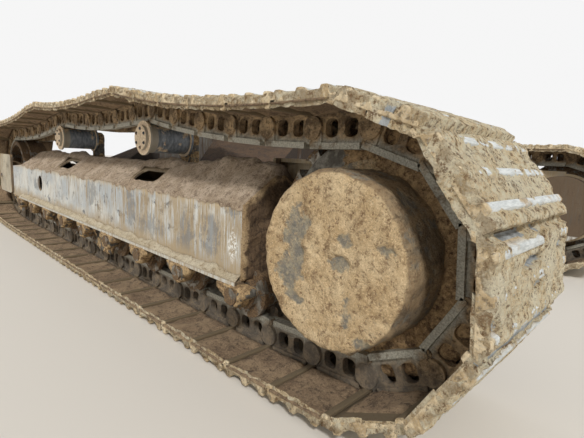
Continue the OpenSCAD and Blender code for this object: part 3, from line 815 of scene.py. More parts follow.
def flaked(index, x, y):
    """How far the mud is broken off here, from 0 to 1."""
    lost = 0
    for flake_x, flake_y, reach_x, reach_y in FLAKES.get(index, ()):
        far = math.hypot((x - flake_x) / reach_x, (y - flake_y) / reach_y)
        far += 0.35 * wobble((x, y, 0), 0.03, index + 9)
        lost = max(lost, 1 - clamped((far - 0.80) / 0.22))
    return lost


def mud_height(index, x, y):
    """Height of the mud over the plate of one shoe."""
    height = 0.0215 + 0.0045 * wobble((x, y, index), 0.085, index)
    height += 0.0058 * wobble((x, y, 0), 0.027, index + 3.5, 4)
    for number, offset in enumerate(SCRAPED.get(index, (0.001, -0.001, 0.001))):
        near = math.exp(-((x - GROUSERS[number]) / 0.016) ** 2)
        offset += sum(rise * math.exp(-((y - at) / reach) ** 2)
                      for which, at, reach, rise in BURIED.get(index, ()) if which == number)
        height += near * (offset + 0.002 * wobble((y, index, 0), 0.12, 7))
    if index == THINNED:
        height -= 0.016 * clamped((-0.102 - x) / 0.026)
    return height


def shoe_mud(index, side, fine):
    """The mud on one shoe, in the link's own frame."""
    wrapped = index in WRAPPED
    low, high = (TRAIL - 0.008, LEAD - 0.0015) if wrapped else (TRAIL + 0.008, 0.097)
    length, width = high - low, 2 * SHOE_HALF - 0.006
    sheet = mud_sheet("mud", length, width, fine, 0.02)
    seed = index + 61 * side
    points, kept = get_points(sheet), []
    for point in points:
        x, y, hangs = point[0] + (low + high) / 2, point[1], point[2] < -0.001
        from_tip, from_end = length / 2 - abs(point[0]), width / 2 - abs(y)
        edge = min(from_tip, from_end)
        if from_tip < ON_EDGE:
            x += 0.004 * wobble((y, seed, 1), 0.05, 2)
        if from_end < ON_EDGE:
            y += math.copysign(0.005, y) * (wobble((x, seed, 2), 0.04, 3) - 0.4)
        height = mud_height(seed if side else index, x, y) * (1 - 0.30 * math.exp(-edge / 0.008))
        lost = flaked(index, x, y)
        kept.append(1 - lost)
        height = max(0.0012, height - 0.030 * lost) if lost else height
        end = math.exp(-((SHOE_HALF - abs(y)) / 0.026) ** 2)
        lump = max(math.exp(-((x - g) / 0.024) ** 2) for g in GROUSERS)
        rounding = (0.013 + 0.006 * wobble((x, y, seed), 0.05, 8)) * (0.25 if index < 4 else 1)
        height -= end * (1 - lump) * rounding
        point[:] = x, y, PLATE + height
        if hangs:
            point[2] = PIN_TO_SHOE - 0.001 - (0.006 if x < 0 and wrapped else 0)
            if from_end < ON_EDGE:
                point[2] -= HANG.get(index, 0.012) * (1 + 0.6 * wobble((x, seed, 3), 0.05, 5))
            point[0] += 0.006 if x < 0 else -0.006
            point[1] -= math.copysign(0.004, y)
        elif x > BEND:
            point[2] -= 0.016 * min(1, (x - BEND) / 0.006)
    points[:, 1] = np.clip(points[:, 1], -SHOE_HALF + 0.0005, SHOE_HALF - 0.0005)
    ceiling = PLATE + GROUSER_H - 0.0012 - 0.12 * np.maximum(0, np.abs(points[:, 0]) - 0.10)
    points[:, 2] = np.minimum(points[:, 2], ceiling)
    smooth(mark(set_points(sheet, points), "mud", kept))
    sheet.data.transform(link_frames[index])
    return sheet


def muddy_track(name, side):
    """The mud on all shoes; only the left sprocket's five shoes get the fine grid."""
    cells = [0.0062 if i in WRAPPED and not side else 0.0112 for i in range(LINKS)]
    return face_out(merge(name, [shoe_mud(i, side, cell) for i, cell in enumerate(cells)]))


# %% [markdown]
# The inner side of the shoes catches the mud that falls off the chain. It needs less detail, so each
# shoe gets two coarse patches, one on each side of the links, thicker where they meet the links.

# %% Cover the inner side of the shoes
BESIDE_LINKS = 0.108
PATCH_LENGTH = 0.196


def inner_mud(index):
    """Two patches of loose mud on the inner face of one shoe, beside the links."""
    patches = []
    reach = STEEL_HALF - 0.06 if index in WRAPPED else STEEL_HALF + 0.004
    for across in (-1, 1):
        low, high = sorted((across * BESIDE_LINKS, across * reach))
        patch = mud_sheet("mud", PATCH_LENGTH, high - low, 0.0145, 0.01)
        points = get_points(patch)
        for point in points:
            x, y, hangs = point[0] - 0.004, point[1] + (low + high) / 2, point[2] < -0.001
            edge = min(PATCH_LENGTH / 2 - abs(point[0]), (high - low) / 2 - abs(point[1]))
            layer = 0.007 + 0.006 * wobble((x, y, index), 0.07, index)
            layer += 0.003 * wobble((x, y, 0), 0.025, index)
            layer += 0.010 * math.exp(-((abs(y) - BESIDE_LINKS) / 0.03) ** 2)
            if edge < ON_EDGE:
                x += 0.006 * wobble((y, index, 1), 0.05, 2)
            point[:] = x, y, PIN_TO_SHOE + (0.003 if hangs else -layer * (1 - 0.6 * math.exp(-edge / 0.01)))
        points[:, 1] = np.clip(points[:, 1], -SHOE_HALF + 0.001, SHOE_HALF - 0.001)
        smooth(set_points(patch, points))
        patch.data.transform(link_frames[index])
        patches.append(patch)
    return patches


inner_patches = [patch for i in range(LINKS) for patch in inner_mud(i)]
left_inside = face_out(merge("left_inner_mud", inner_patches), inside=True)
right_inside = mirrored(left_inside, "right_inner_mud")
for piece, node in ((left_inside, "left_track"), (right_inside, "right_track")):
    fasten(piece, "track_steel", node)
    paint_with(SHADE_MUD, piece)
print("inner mud:", len(left_inside.data.polygons), "faces a side")

# %% [markdown]
# Now the sheets are made for every shoe. The right track is a mirrored copy of a loop that is made
# with other noise seeds, so the two tracks don't carry the same lumps.

# %% Pack both tracks
left_mud = muddy_track("left_shoe_mud", 0)
far_mud = muddy_track("far_mud", 1)
right_mud = mirrored(far_mud, "right_shoe_mud")
bpy.data.objects.remove(far_mud)
for piece, node in ((left_mud, "left_track"), (right_mud, "right_track")):
    fasten(piece, "track_steel", node)
    paint_with(SHOE_MUD, piece)
print("shoe mud:", len(left_mud.data.polygons), "and", len(right_mud.data.polygons), "faces")

# %% [markdown]
# ## Steel under the mud
# Where mud has rubbed off, the tips of the grousers and the running faces of the rails are bare and
# pale. The pieces carry that as a number for each point, called worn, and the finish blends from
# muddy brown to scratched steel by it.

# %% Finish the worn steel
LOWER_RUN = (0.24, 0.14)
LOWER_COAT = (104, 100, 92)


def worn_steel(name, coat, coat_dark, bare, bare_dark, amount, low=0.0):
    """Muddy brown that gives way to bare steel where the number worn is high.

    amount says how fully patches of mud hide the bare steel, and low how grey the lower run is.
    """
    finish = Finish(name)
    soaked = shade(*[v * 0.62 for v in coat_dark])
    dry = shade(*[min(255, v * 1.15) for v in coat])
    patches = finish.noise(16, 6, 0.65)
    crumbs = finish.noise(70, 6, 0.75)
    grit = finish.noise(190, 4, 0.7)
    height = finish.split(finish.place)[2]
    coat_colour = finish.layers(
        shade(*coat_dark),
        (finish.step(patches, 0.38, 0.62), shade(*coat)),
        (finish.step(crumbs, 0.50, 0.37, 0, 0.85), soaked),
        (finish.step(crumbs, 0.53, 0.66, 0, 0.5), dry),
        (finish.step(grit, 0.5, 0.75, 0, 0.4), shade(*bare_dark)),
        (finish.step(height, *LOWER_RUN, 0, low), shade(*LOWER_COAT)),
        # painted shade: where worn is below zero, on the inner faces of the shoes, the coat is dark
        (finish.step(finish.mark("worn"), -0.1, -0.8), soaked))
    scratches = finish.noise(30, 5, 0.7, at=finish.stretched(6, 1, 6))
    bare_colour = finish.mix(finish.step(scratches, 0.35, 0.65), shade(*bare_dark), shade(*bare))
    worn = finish.both(finish.maths("MAXIMUM", finish.mark("worn"), 0.0),
                       finish.step(patches, 0.30, 0.46, 1 - amount, 1))
    relief = finish.plus(finish.both(grit, 0.5), finish.both(patches, 0.8),
                         finish.both(crumbs, finish.blend(worn, 1.0, 0.1)))
    return finish.done(finish.mix(worn, coat_colour, bare_colour), finish.blend(worn, 0.9, 0.45),
                       metal=finish.both(worn, 0.12), relief=relief, depth=0.007)


SHOE_STEEL = worn_steel("shoe_steel", (226, 206, 170), (186, 161, 122),
                        (226, 229, 226), (188, 192, 190), 0.9)
CHAIN_STEEL = worn_steel("chain_steel", (184, 156, 118), (108, 88, 64),
                         (196, 192, 176), (142, 138, 124), 0.85, low=0.6)
paint_with(SHOE_STEEL, left_shoes, right_shoes)
paint_with(CHAIN_STEEL, left_chain, right_chain)
print("worn steel:", SHOE_STEEL.name, CHAIN_STEEL.name)

# %% [markdown]
# ## The drum of the final drive
# The drum outboard of the sprocket is the cover of the travel gearbox. Its outline is spun like a
# turned part, with many short steps, and mud is then laid on by moving each point along its normal.
# A number called mud says how thick the layer is, so that the finish can show the painted steel
# where a flake has fallen.

# %% Turn the drum
FULL_COVER = 0.003


def fine_outline(corners, step):
    """Adds points between the corners, no more than step apart."""
    line = [corners[0]]
    for a, b in zip(corners, corners[1:]):
        count = max(1, math.ceil(math.dist(a, b) / step))
        line += [(a[0] + (b[0] - a[0]) * i / count, a[1] + (b[1] - a[1]) * i / count)
                 for i in range(1, count + 1)]
    return line


def cake(piece, thickness):
    """Lays mud on a fine mesh: thickness(place, normal) in metres, and 0 or less for bare steel."""
    normals = np.empty(len(piece.data.vertices) * 3)
    piece.data.vertices.foreach_get("normal", normals)
    points, normals = get_points(piece), normals.reshape(-1, 3)
    depths = np.array([thickness(Vector(p), Vector(n)) for p, n in zip(points, normals)])
    smooth(set_points(piece, points + normals * np.maximum(depths, 0)[:, None]))
    return mark(piece, "mud", np.clip(depths / FULL_COVER, 0, 1))


# outline of the drum as (radius, distance outboard of the sprocket's middle)
DRUM_R, DRUM_FACE = 0.242, 0.256
DRUM_LINE = fine_outline([(0, DRUM_FACE), (0.225, DRUM_FACE), (0.238, 0.249), (DRUM_R, 0.236),
                          (DRUM_R, 0.066), (0.273, 0.064), (0.273, 0.041)], 0.007)
DRUM_BACK = [(0.2, 0.040), (0.2, -0.115), (0.2355, -0.115), (0.2355, -0.145), (0, -0.145)]
# bare flakes on the face, in metres from its middle: x forward, z up, half sizes
DRUM_FLAKES = ((0.109, 0.085, 0.046, 0.050), (0.133, -0.045, 0.058, 0.085), (0.110, 0.020, 0.026, 0.060),
               (-0.043, 0.003, 0.040, 0.024), (-0.060, 0.062, 0.024, 0.018), (-0.176, 0.066, 0.040, 0.010),
               (-0.075, -0.118, 0.018, 0.044), (0.105, -0.130, 0.034, 0.016), (-0.125, -0.186, 0.026, 0.012))


def drum_mud(seed):
    """The thickness of the mud on a drum: flaked on its face, thin on its flange."""
    def thickness(place, normal):
        at = place - SPROCKET
        lumps = 0.0055 * wobble(place, 0.06, seed + 1) + 0.0024 * wobble(place, 0.016, seed + 2)
        if normal.y > 0.75 and at.y > 0.2:
            layer = 0.0075 + lumps
            for x, z, reach_x, reach_z in DRUM_FLAKES:
                far = math.hypot((at.x - x) / reach_x, (at.z - z) / reach_z)
                far += 0.5 * wobble(place, 0.04, seed + 4, 4)
                layer -= 0.0095 * (1 - clamped((far - 0.55) / 0.75))
            return layer
        if math.hypot(at.x, at.z) > DRUM_R + 0.008:
            return 0.001 + 0.5 * lumps
        rim = clamped((at.y - 0.19) / 0.05)
        return 0.0030 + lumps + rim * (0.001 + 0.005 * wobble(place, 0.045, seed + 7))

    return thickness


def make_drum(name, seed):
    outline = DRUM_LINE + fine_outline(DRUM_BACK, 0.03)
    return cake(turned(name, outline, SPROCKET), drum_mud(seed))


left_drum = make_drum("left_drum", 0)
right_start = make_drum("right_start", 5)
right_drum = mirrored(right_start, "right_drum")
bpy.data.objects.remove(right_start)
fasten(left_drum, "drive_cover", "left_final_drive")
fasten(right_drum, "drive_cover", "right_final_drive")
print("drum:", len(left_drum.data.polygons), "faces")

# %% [markdown]
# The finish of the drum has three parts: clumps of pale mud on the face, dark smears round the side,
# which are partly mud and partly painted shade from the shoes, and the old paint under both.

# %% Finish the drum
finish = Finish("drum_cover")
mud_colour, mud_relief = mud_colours(finish, shade(226, 200, 158), shade(200, 170, 126), shade(120, 90, 58))
on_face = finish.step(finish.size(finish.facing[1]), 0.5, 0.85)
smears = finish.noise(9, 6, 0.7, at=finish.stretched(1, 0.45, 1), twist=0.5)
# painted shade: the side is darker than the face, smears of mud and the shade of the shoes in one
side_smears_and_shade = finish.mix(finish.step(smears, 0.44, 0.58), shade(66, 58, 50), shade(150, 124, 92))
side_smears_and_shade = finish.mix(0.35, side_smears_and_shade, mud_colour)
mud_colour = finish.mix(on_face, side_smears_and_shade, mud_colour)
flecks = finish.step(finish.noise(40, 5, 0.7), 0.4, 0.65)
paint = finish.mix(flecks, shade(132, 127, 116), shade(174, 163, 138))
covered = finish.step(finish.ragged(finish.mark("mud"), finish.noise(90, 6, 0.8), 3.4), -0.15, 0.95)
DRUM = finish.done(finish.mix(covered, paint, mud_colour), 0.9, relief=mud_relief, depth=0.010)
paint_with(DRUM, left_drum, right_drum)
print("finish:", DRUM.name)

# %% [markdown]
# ## Mud round the sprocket
# Between the drum and the running rails sits the sprocket, which on this machine is packed with
# dried mud. A flat ring is spun, caked, and left thin towards the front of the machine, where the
# polished teeth come free of the chain.

# %% Pack the sprocket
SPROCKET_LINE = fine_outline([(0.250, 0.040), (0.250, 0.058), (0.343, 0.058), (0.352, 0.050),
                              (0.352, 0.040)], 0.007)
# the middle and the spread of the clean teeth, in degrees up from the front of the sprocket
CLEAN_AT, CLEAN_SPREAD = 38, 26


def sprocket_mud(place, _):
    """The thickness of the mud: much where the chain wraps, none on the clean teeth."""
    at = place - SPROCKET
    angle = math.atan2(at.z, at.x)
    clean = math.exp(-((math.degrees(angle) - CLEAN_AT) / CLEAN_SPREAD) ** 2)
    wrapped = clamped(0.25 - 2.5 * math.cos(angle))
    lumps = 0.007 * wobble(place, 0.055, 11) + 0.003 * wobble(place, 0.018, 12)
    return 0.006 + lumps + 0.017 * wrapped - 0.030 * clean if at.y > 0.045 else 0.001


left_pack = cake(turned("left_sprocket_mud", SPROCKET_LINE, SPROCKET), sprocket_mud)
right_pack = mirrored(left_pack, "right_sprocket_mud")
for piece in (left_pack, right_pack):
    fasten(piece, "running_steel")
print("sprocket mud:", len(left_pack.data.polygons), "faces")

# %% [markdown]
# ## Caked castings
# Small castings such as the roller collars have no clean edge left at all. For these the CAD
# node's own mesh is copied, its loose triangles are merged, and a voxel remesh turns it into an
# even skin that can be moved outwards by lumpy noise, like mud thrown at it.

# %% Cake the small castings
def caked(node, voxel, layer, seed):
    """A muddy stand-in for a node, built from a merged copy of its mesh."""
    def thickness(place, normal):
        lumps = 0.9 * wobble(place, 0.05, seed) + 0.5 * wobble(place, 0.017, seed + 1)
        return layer * (0.55 + lumps + 0.5 * max(0, normal.z))

    piece = close_seams(copy_of(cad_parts[node], node.replace("_", "-") + "-caked"))
    modify(piece, "REMESH", mode="VOXEL", voxel_size=voxel)
    return fasten(cake(piece, thickness), "bracket_steel", node)


castings = []
for side in ("left", "right"):
    castings.append(caked(side + "_roller_collars", 0.010, 0.005, 21))
    castings.append(caked(side + "_carrier_brackets", 0.008, 0.003, 23))
    castings.append(caked(side + "_track_guides", 0.008, 0.003, 25))
print("castings:", sum(len(p.data.polygons) for p in castings), "faces")

# %% [markdown]
# ## Crust on the roofs of the track frames
# The roof of a track frame is a ridge that sheds mud to both sides, but some of it always stays and
# dries to a crust, with heaps at the carrier rollers and behind them. One grid follows the roof
# from side to side. Its height is noise with the heaps added, and the cells over the mud holes are
# deleted.

# %% Lay the crust
REAR, FRONT = SPROCKET.x + 0.456, SPROCKET.x + 3.531
FRAME_HALF, FRAME_FOOT = 0.176, 0.292
RIDGE_Z, RIDGE_HALF, ROOF_SLOPE = 0.670, 0.025, 0.7
# holes in the roof: ahead of the sprocket's centre, and outboard (1) or inboard (-1)
MUD_HOLES = ((1.320, 1), (2.530, 1), (0.960, -1), (1.990, -1), (3.120, -1))
HOLE_Y, HOLE_REACH_X, HOLE_REACH_Y = 0.100, 0.136, 0.043
# heaps of mud: x, y from the ridge, reach along x and y, height
HEAPS = ((-1.33, -0.02, 0.30, 0.10, 0.050), (-0.72, -0.06, 0.16, 0.09, 0.040), (0.60, -0.05, 0.15, 0.09, 0.034),
         (-1.47, 0.10, 0.09, 0.07, 0.022), (0.02, -0.08, 0.30, 0.05, 0.016), (1.20, -0.04, 0.26, 0.09, 0.022))


def roof_z(y):
    """Height of the roof at y from the ridge."""
    return RIDGE_Z - ROOF_SLOPE * max(0, abs(y) - RIDGE_HALF)


def crust_depth(x, y, seed):
    """Thickness of the crust, thin at the roof's edges."""
    depth = 0.004 + 0.005 * wobble((x, y, 0), 0.11, seed) + 0.003 * wobble((x, y, 0), 0.025, seed + 1)
    depth += 0.010 * math.exp(-(y / 0.05) ** 2)
    for heap_x, heap_y, reach_x, reach_y, height in HEAPS:
        far = ((x - heap_x) / reach_x) ** 2 + ((y - heap_y) / reach_y) ** 2
        depth += height * math.exp(-far) * (1 + 0.35 * wobble((x, y, 1), 0.07, seed))
    return depth * min(1, (0.175 - abs(y)) / 0.03 + 0.15)


def roof_crust(name, seed):
    """The crust of one roof; its outboard edge hangs over the side plate in ragged drips."""
    sheet = mud_sheet(name, FRONT - REAR, 0.346, 0.0105, 0.01)
    points = get_points(sheet)
    for point in points:
        x, y, hangs = point[0] + (REAR + FRONT) / 2, point[1], point[2] < -0.001
        roof = roof_z(y)
        point[:] = x, y + TRACK_Y, roof + (-0.012 if hangs else crust_depth(x, y, seed))
        if y > FRAME_HALF - 0.004:
            torn = 0.5 + wobble((x, 0, 2), 0.13, seed + 4, 4) + 0.6 * wobble((x, 0, 3), 0.03, seed + 5)
            point[1] = TRACK_Y + FRAME_HALF + (0.0008 if hangs else 0.0026)
            point[2] = roof - (0.004 + 0.020 * max(0, torn) if hangs else 0.001)
    set_points(sheet, points)
    holes = [(SPROCKET.x + x, TRACK_Y + side * HOLE_Y) for x, side in MUD_HOLES]
    select_faces(sheet, lambda c, n: any(abs(c.x - x) < HOLE_REACH_X and abs(c.y - y) < HOLE_REACH_Y
                                         for x, y in holes))
    bpy.ops.mesh.delete(type="FACE")
    bpy.ops.object.mode_set(mode="OBJECT")
    return smooth(sheet)


# %% [markdown]
# The upright rear plate of each frame gets a sheet that is turned on end, so its height moves the
# points backwards. A third, narrow sheet fills the corner between the side plate and its lip.

# %% Lay the mud on the rear end and on the lip of the frame
LIP_EDGE, LIP_TOP = 0.2035, 0.2895


def end_crust(name, seed):
    """Mud on the upright rear plate, thick enough to round its corners."""
    sheet = mud_sheet(name, 0.352, 1.0, 0.0105, 0.01)
    points, rims = get_points(sheet), []
    for point in points:
        y, up, hangs = point[0], point[1] + 0.5, point[2] < -0.001
        top = roof_z(y) + 0.004
        z = FRAME_FOOT + (top - FRAME_FOOT) * up
        edge = min(FRAME_HALF - abs(y), z - FRAME_FOOT, top - z)
        layer = 0.011 + 0.008 * wobble((y, z, 0), 0.09, seed) + 0.004 * wobble((y, z, 0), 0.03, seed + 1)
        layer *= 1 - 0.55 * math.exp(-edge / 0.012)
        rim = math.exp(-min(top - z, FRAME_HALF - y) / 0.022)
        rims.append(rim * (1 + 0.8 * wobble((y, z, 4), 0.03, seed)))
        point[:] = REAR - (-0.004 if hangs else max(0.001, layer)), y + TRACK_Y, z
    mark(set_points(sheet, points), "rim", rims)
    sheet.data.flip_normals()
    return smooth(sheet)


def lip_mud(name, seed):
    """A strip of mud in the corner on top of the lip, ragged along its upper edge."""
    clear()
    columns = round((FRONT - REAR) / 0.009)
    bpy.ops.mesh.primitive_grid_add(x_subdivisions=columns, y_subdivisions=5, size=2)
    strip = bpy.context.object
    strip.name = name
    points = get_points(strip)
    for point in points:
        x, up = REAR + (point[0] + 1) / 2 * (FRONT - REAR), (point[1] + 1) / 2
        rise = 0.026 + 0.012 * wobble((x, 0, 0), 0.14, seed) + 0.006 * wobble((x, 1, 0), 0.03, seed + 1)
        bulge = math.sin(math.pi * up) * (0.002 + 0.003 * wobble((x, up * 0.03, 0), 0.03, seed + 2))
        point[:] = x, TRACK_Y + LIP_EDGE - 0.0290 * up + bulge, LIP_TOP + rise * up ** 1.7 + bulge
    set_points(strip, points)
    modify(strip, "SOLIDIFY", thickness=0.004, offset=-1)
    return smooth(strip)


# %% [markdown]
# The end plate lies in the shade, so its mud is dark, with pale dry mud only along the rim that the
# number rim marks. Each kind of crust is then made for the left frame and mirrored to the right.

# %% Place the crusts
LIP_MUD = mud_finish("lip_mud", (214, 202, 176), (194, 178, 148), (146, 122, 90))
finish = Finish("end_mud")
end_damp = shade(60, 46, 34)
end_colour, end_relief = mud_colours(finish, shade(126, 102, 76), shade(98, 78, 56), end_damp)
rim_colour = mud_colours(finish, shade(196, 170, 132), shade(164, 136, 98), shade(104, 80, 54))[0]
washed = finish.noise(1, 6, 0.7, at=finish.stretched(70, 70, 6))
end_colour = finish.layers(end_colour, (finish.step(washed, 0.46, 0.62, 0, 0.6), end_damp),
                           (finish.step(finish.mark("rim"), 0.25, 0.65), rim_colour))
END_MUD = finish.done(end_colour, 0.95, relief=end_relief, depth=0.011)

for make, name, seed, material in ((lip_mud, "lip_mud", 51, LIP_MUD), (end_crust, "end_crust", 41, END_MUD),
                                   (roof_crust, "roof_crust", 31, ROOF_MUD)):
    left = make("left_" + name, seed)
    for piece in (left, mirrored(left, "right_" + name)):
        fasten(piece, "frame_paint")
        paint_with(material, piece)
    print(name + ":", len(left.data.polygons), "faces a side")

# %% [markdown]
# ## Paint under dust
# The side plates show what years of use do to paint: it has gone pale and blue-grey, muddy water has
# left thin tan streaks that run straight down, and dust sits on everything that faces up. The
# streaks are noise that is stretched along Z, which works on every upright plate of the machine.

# %% Mix the weathered paint
SCRATCH_X, SCRATCH_Z = REAR + 0.055, 0.41
SCRATCHED, LIP_COLOUR = (238, 236, 228), (204, 202, 192)


def worn_spot(finish, x, z, noise, spot):
    """How much of the paint is worn off round one spot: x, z, reach along x, reach along z."""
    far_x = finish.both(finish.minus(x, spot[0]), 1 / spot[2])
    far_z = finish.both(finish.minus(z, spot[1]), 1 / spot[3])
    far = finish.plus(finish.both(far_x, far_x), finish.both(far_z, far_z))
    return finish.step(finish.plus(far, finish.both(finish.minus(noise, 1.0), 9.0)), 1.1, 0.2, 0, 0.62)


def scratch(finish, x, z):
    """A bright scratch near the rear end of a side plate."""
    far = finish.plus(finish.both(finish.size(finish.minus(x, SCRATCH_X)), 30),
                      finish.both(finish.size(finish.minus(z, SCRATCH_Z)), 14))
    return finish.both(finish.step(far, 1.2, 0.8), finish.step(finish.noise(60, 5, 0.8), 0.47, 0.53))


def weathered_paint(name, paint, pale, worn_out, mud, mud_dark, muddy, low=0.28, high=0.57, spots=()):
    """Paint with chips, streaks and dust.

    muddy says how much mud the streaks carry, low and high are where mud covers the foot and the
    top of a plate, and spots are places where the paint is worn through.
    """
    finish = Finish(name)
    x, y, z = finish.split(finish.place)
    between = shade(*[(a + b) // 2 for a, b in zip(mud, mud_dark)])
    soaked, underside_shade, damp = (shade(*[int(v * part) for v in mud_dark]) for part in (0.62, 0.7, 0.8))
    dry = shade(*[min(255, int(v * 1.13)) for v in mud])
    blotches = finish.noise(3.2, 5, 0.6, twist=0.3)
    marks = finish.noise(11, 6, 0.72, twist=0.4)
    thin = finish.noise(1, 6, 0.75, at=finish.stretched(95, 95, 7.0))
    broad = finish.noise(1, 5, 0.65, at=finish.stretched(13, 13, 2.2))
    faint = finish.noise(1, 5, 0.75, at=finish.stretched(150, 150, 11))
    grit = finish.noise(170, 4, 0.7)
    rearward = finish.step(x, 0.9, -1.5, -0.03, 0.07)
    chipped = finish.plus(finish.both(marks, 0.75), finish.both(finish.plus(thin, rearward), 0.25))
    streaks = finish.plus(finish.both(thin, 0.6), finish.both(broad, 0.4), rearward)
    cut = 0.60 - 0.14 * muddy
    colour = finish.layers(
        shade(*paint),
        (finish.step(blotches, 0.40, 0.62), shade(*pale)),
        (finish.step(chipped, 0.55, 0.61), shade(*worn_out)),
        (finish.step(streaks, cut - 0.05, cut + 0.06, 0, 0.9), shade(*mud)))
    noise_here = finish.plus(marks, thin) if spots else None
    for spot in spots:
        colour = finish.mix(worn_spot(finish, x, z, noise_here, spot), colour, shade(*worn_out))
    runs = finish.both(finish.step(thin, 0.54, 0.66), finish.step(broad, 0.42, 0.58))
    colour = finish.layers(colour, (finish.step(faint, 0.50, 0.66, 0, 0.5), between),
                           (finish.both(runs, 0.8), shade(*mud_dark)))
    if spots:
        colour = finish.mix(scratch(finish, x, z), colour, shade(*SCRATCHED))
    from_middle = finish.size(finish.minus(finish.size(y), TRACK_Y))
    on_lip = finish.both(finish.step(from_middle, 0.190, 0.200), finish.step(thin, 0.40, 0.56))
    dust_colour, dust_relief = mud_colours(finish, shade(*mud), between, damp)
    dusty = finish.both(finish.step(finish.facing[2], 0.25, 0.55), finish.step(blotches, 0.25, 0.45, 0.75, 1))
    end_on = finish.step(finish.size(finish.facing[0]), 0.6, 0.85)
    # painted shade: faces that look down get a darker colour
    under = finish.step(finish.facing[2], -0.4, -0.7)
    colour = finish.layers(
        colour,
        (finish.step(finish.ragged(z, marks, 0.16), low + 0.10, low + 0.02, 0, 0.85), shade(*mud)),
        (finish.step(finish.ragged(z, thin, 0.10), high - 0.045, high - 0.005, 0, 0.7), dry),
        (finish.both(on_lip, finish.step(z, 0.30, 0.29)), shade(*LIP_COLOUR)),
        (dusty, dust_colour),
        (finish.both(end_on, 0.9), finish.mix(finish.step(thin, 0.42, 0.62), soaked, shade(*mud_dark))),
        (finish.both(under, 0.8), underside_shade))
    relief = finish.plus(finish.both(grit, 0.35), finish.both(streaks, 0.5),
                         finish.both(dust_relief, finish.blend(dusty, 0.1, 1.0)))
    return finish.done(colour, 0.82, relief=relief, depth=0.006)


# %% [markdown]
# The worn spots of the side plates are placed as the photo shows them, counted from the rear end of
# the frame. The other paints have the same weather with other colours, and no worn spots. The car
# body and the motor guards are coloured dark all over, as painted shade from the upper structure.

# %% Paint the frames and the car body
FRAME_SPOTS = [(REAR + x, z, reach_x, reach_z) for x, z, reach_x, reach_z in (
    (0.38, 0.410, 0.060, 0.085), (0.20, 0.430, 0.060, 0.070), (0.70, 0.385, 0.120, 0.050),
    (1.45, 0.480, 0.080, 0.060), (0.92, 0.450, 0.050, 0.080), (2.60, 0.430, 0.080, 0.050),
    (0.06, 0.545, 0.050, 0.022))]
FRAME_PAINT = weathered_paint("frame_paint", (186, 191, 192), (218, 217, 209), (106, 111, 116),
                              (176, 156, 124), (124, 102, 76), 0.42, spots=FRAME_SPOTS)
# painted shade: the car body's colours are dark, for the shade of the upper structure above it
SHADED_BODY_PAINT = weathered_paint("body_paint", (104, 106, 106), (124, 122, 114), (74, 78, 82),
                             (86, 64, 43), (56, 42, 30), 0.75, low=0.30, high=5.0)
# painted shade: the motor guards' colours are dark too, for the same shade
SHADED_GUARD_PAINT = weathered_paint("guard_paint", (92, 84, 74), (106, 94, 78), (66, 60, 54),
                              (104, 86, 66), (72, 58, 44), 0.7, low=-1.0, high=5.0)
BRACKET_PAINT = weathered_paint("bracket_paint", (168, 160, 142), (196, 188, 168), (110, 104, 94),
                                (182, 156, 116), (120, 96, 68), 0.75, low=-1.0, high=5.0)


BOTH_SIDES = ("left_", "right_")


def paint_nodes(material, *names, sides=("",)):
    """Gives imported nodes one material; sides are what their names begin with."""
    for side in sides:
        paint_with(material, *[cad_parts[side + name] for name in names])


paint_nodes(FRAME_PAINT, "frame", sides=BOTH_SIDES)
paint_nodes(BRACKET_PAINT, "idler_yoke", sides=BOTH_SIDES)
paint_nodes(SHADED_GUARD_PAINT, "motor_guard", sides=BOTH_SIDES)
paint_nodes(SHADED_BODY_PAINT, "car_body", "ring_seat", "tow_lugs",
            *[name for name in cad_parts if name.startswith("leg_")])
print("paints:", [m.name for m in (FRAME_PAINT, SHADED_BODY_PAINT, SHADED_GUARD_PAINT, BRACKET_PAINT)])

# %% [markdown]
# The castings and the mud round the sprocket are finished like the shoes: mud where the number mud
# is high, and dark worn steel below it. The rollers and the other steel parts have no such number.
# Noise puts mud on them in patches, more of it on faces that look up or, for the carrier rollers,
# sideways.

# %% Finish the castings and the rollers
CAST_MUD = coated("caked_casting", (190, 162, 120), (156, 126, 88), (98, 76, 54), (120, 116, 106), (80, 74, 66))
PACK_MUD = coated("sprocket_pack", (176, 146, 106), (146, 116, 80), (80, 60, 42), (150, 146, 134), (96, 90, 80))
paint_with(CAST_MUD, *castings)
paint_with(PACK_MUD, left_pack, right_pack)
# outboard of a carrier roller's middle, where the pale rim of its cap begins
CAP_RIM, CAP_COLOUR = (0.068, 0.074), (176, 168, 152)


def dirty_steel(name, steel, steel_dark, mud, mud_dark, cover, metal=0.5, rough=0.45, caps=0.0):
    """Bare steel with mud in noise patches; cover is the muddy share, and caps adds mud on ends."""
    finish = Finish(name)
    patches = finish.noise(14, 6, 0.68, twist=0.3)
    grit = finish.noise(150, 4, 0.7)
    scratches = finish.noise(26, 5, 0.7, at=finish.stretched(1, 3, 1))
    bare = finish.mix(finish.step(scratches, 0.36, 0.64), shade(*steel_dark), shade(*steel))
    coat = finish.mix(finish.step(grit, 0.40, 0.65), shade(*mud_dark), shade(*mud))
    up = finish.step(finish.facing[2], 0.3, 0.9, 0, 0.12)
    ends = finish.step(finish.size(finish.facing[1]), 0.7, 0.9, 0, caps)
    if caps:
        outboard = finish.minus(finish.size(finish.split(finish.place)[1]), TRACK_Y)
        bare = finish.mix(finish.step(outboard, *CAP_RIM, 0, 0.85), bare, shade(*CAP_COLOUR))
    cut = 0.62 - 0.25 * cover
    amount = finish.step(finish.plus(patches, up, ends), cut, cut + 0.06)
    relief = finish.plus(finish.both(grit, 0.4), finish.both(patches, finish.both(amount, 0.9)))
    return finish.done(finish.mix(amount, bare, coat), finish.blend(amount, rough, 0.92),
                       metal=finish.blend(amount, metal, 0.0), relief=relief, depth=0.004)


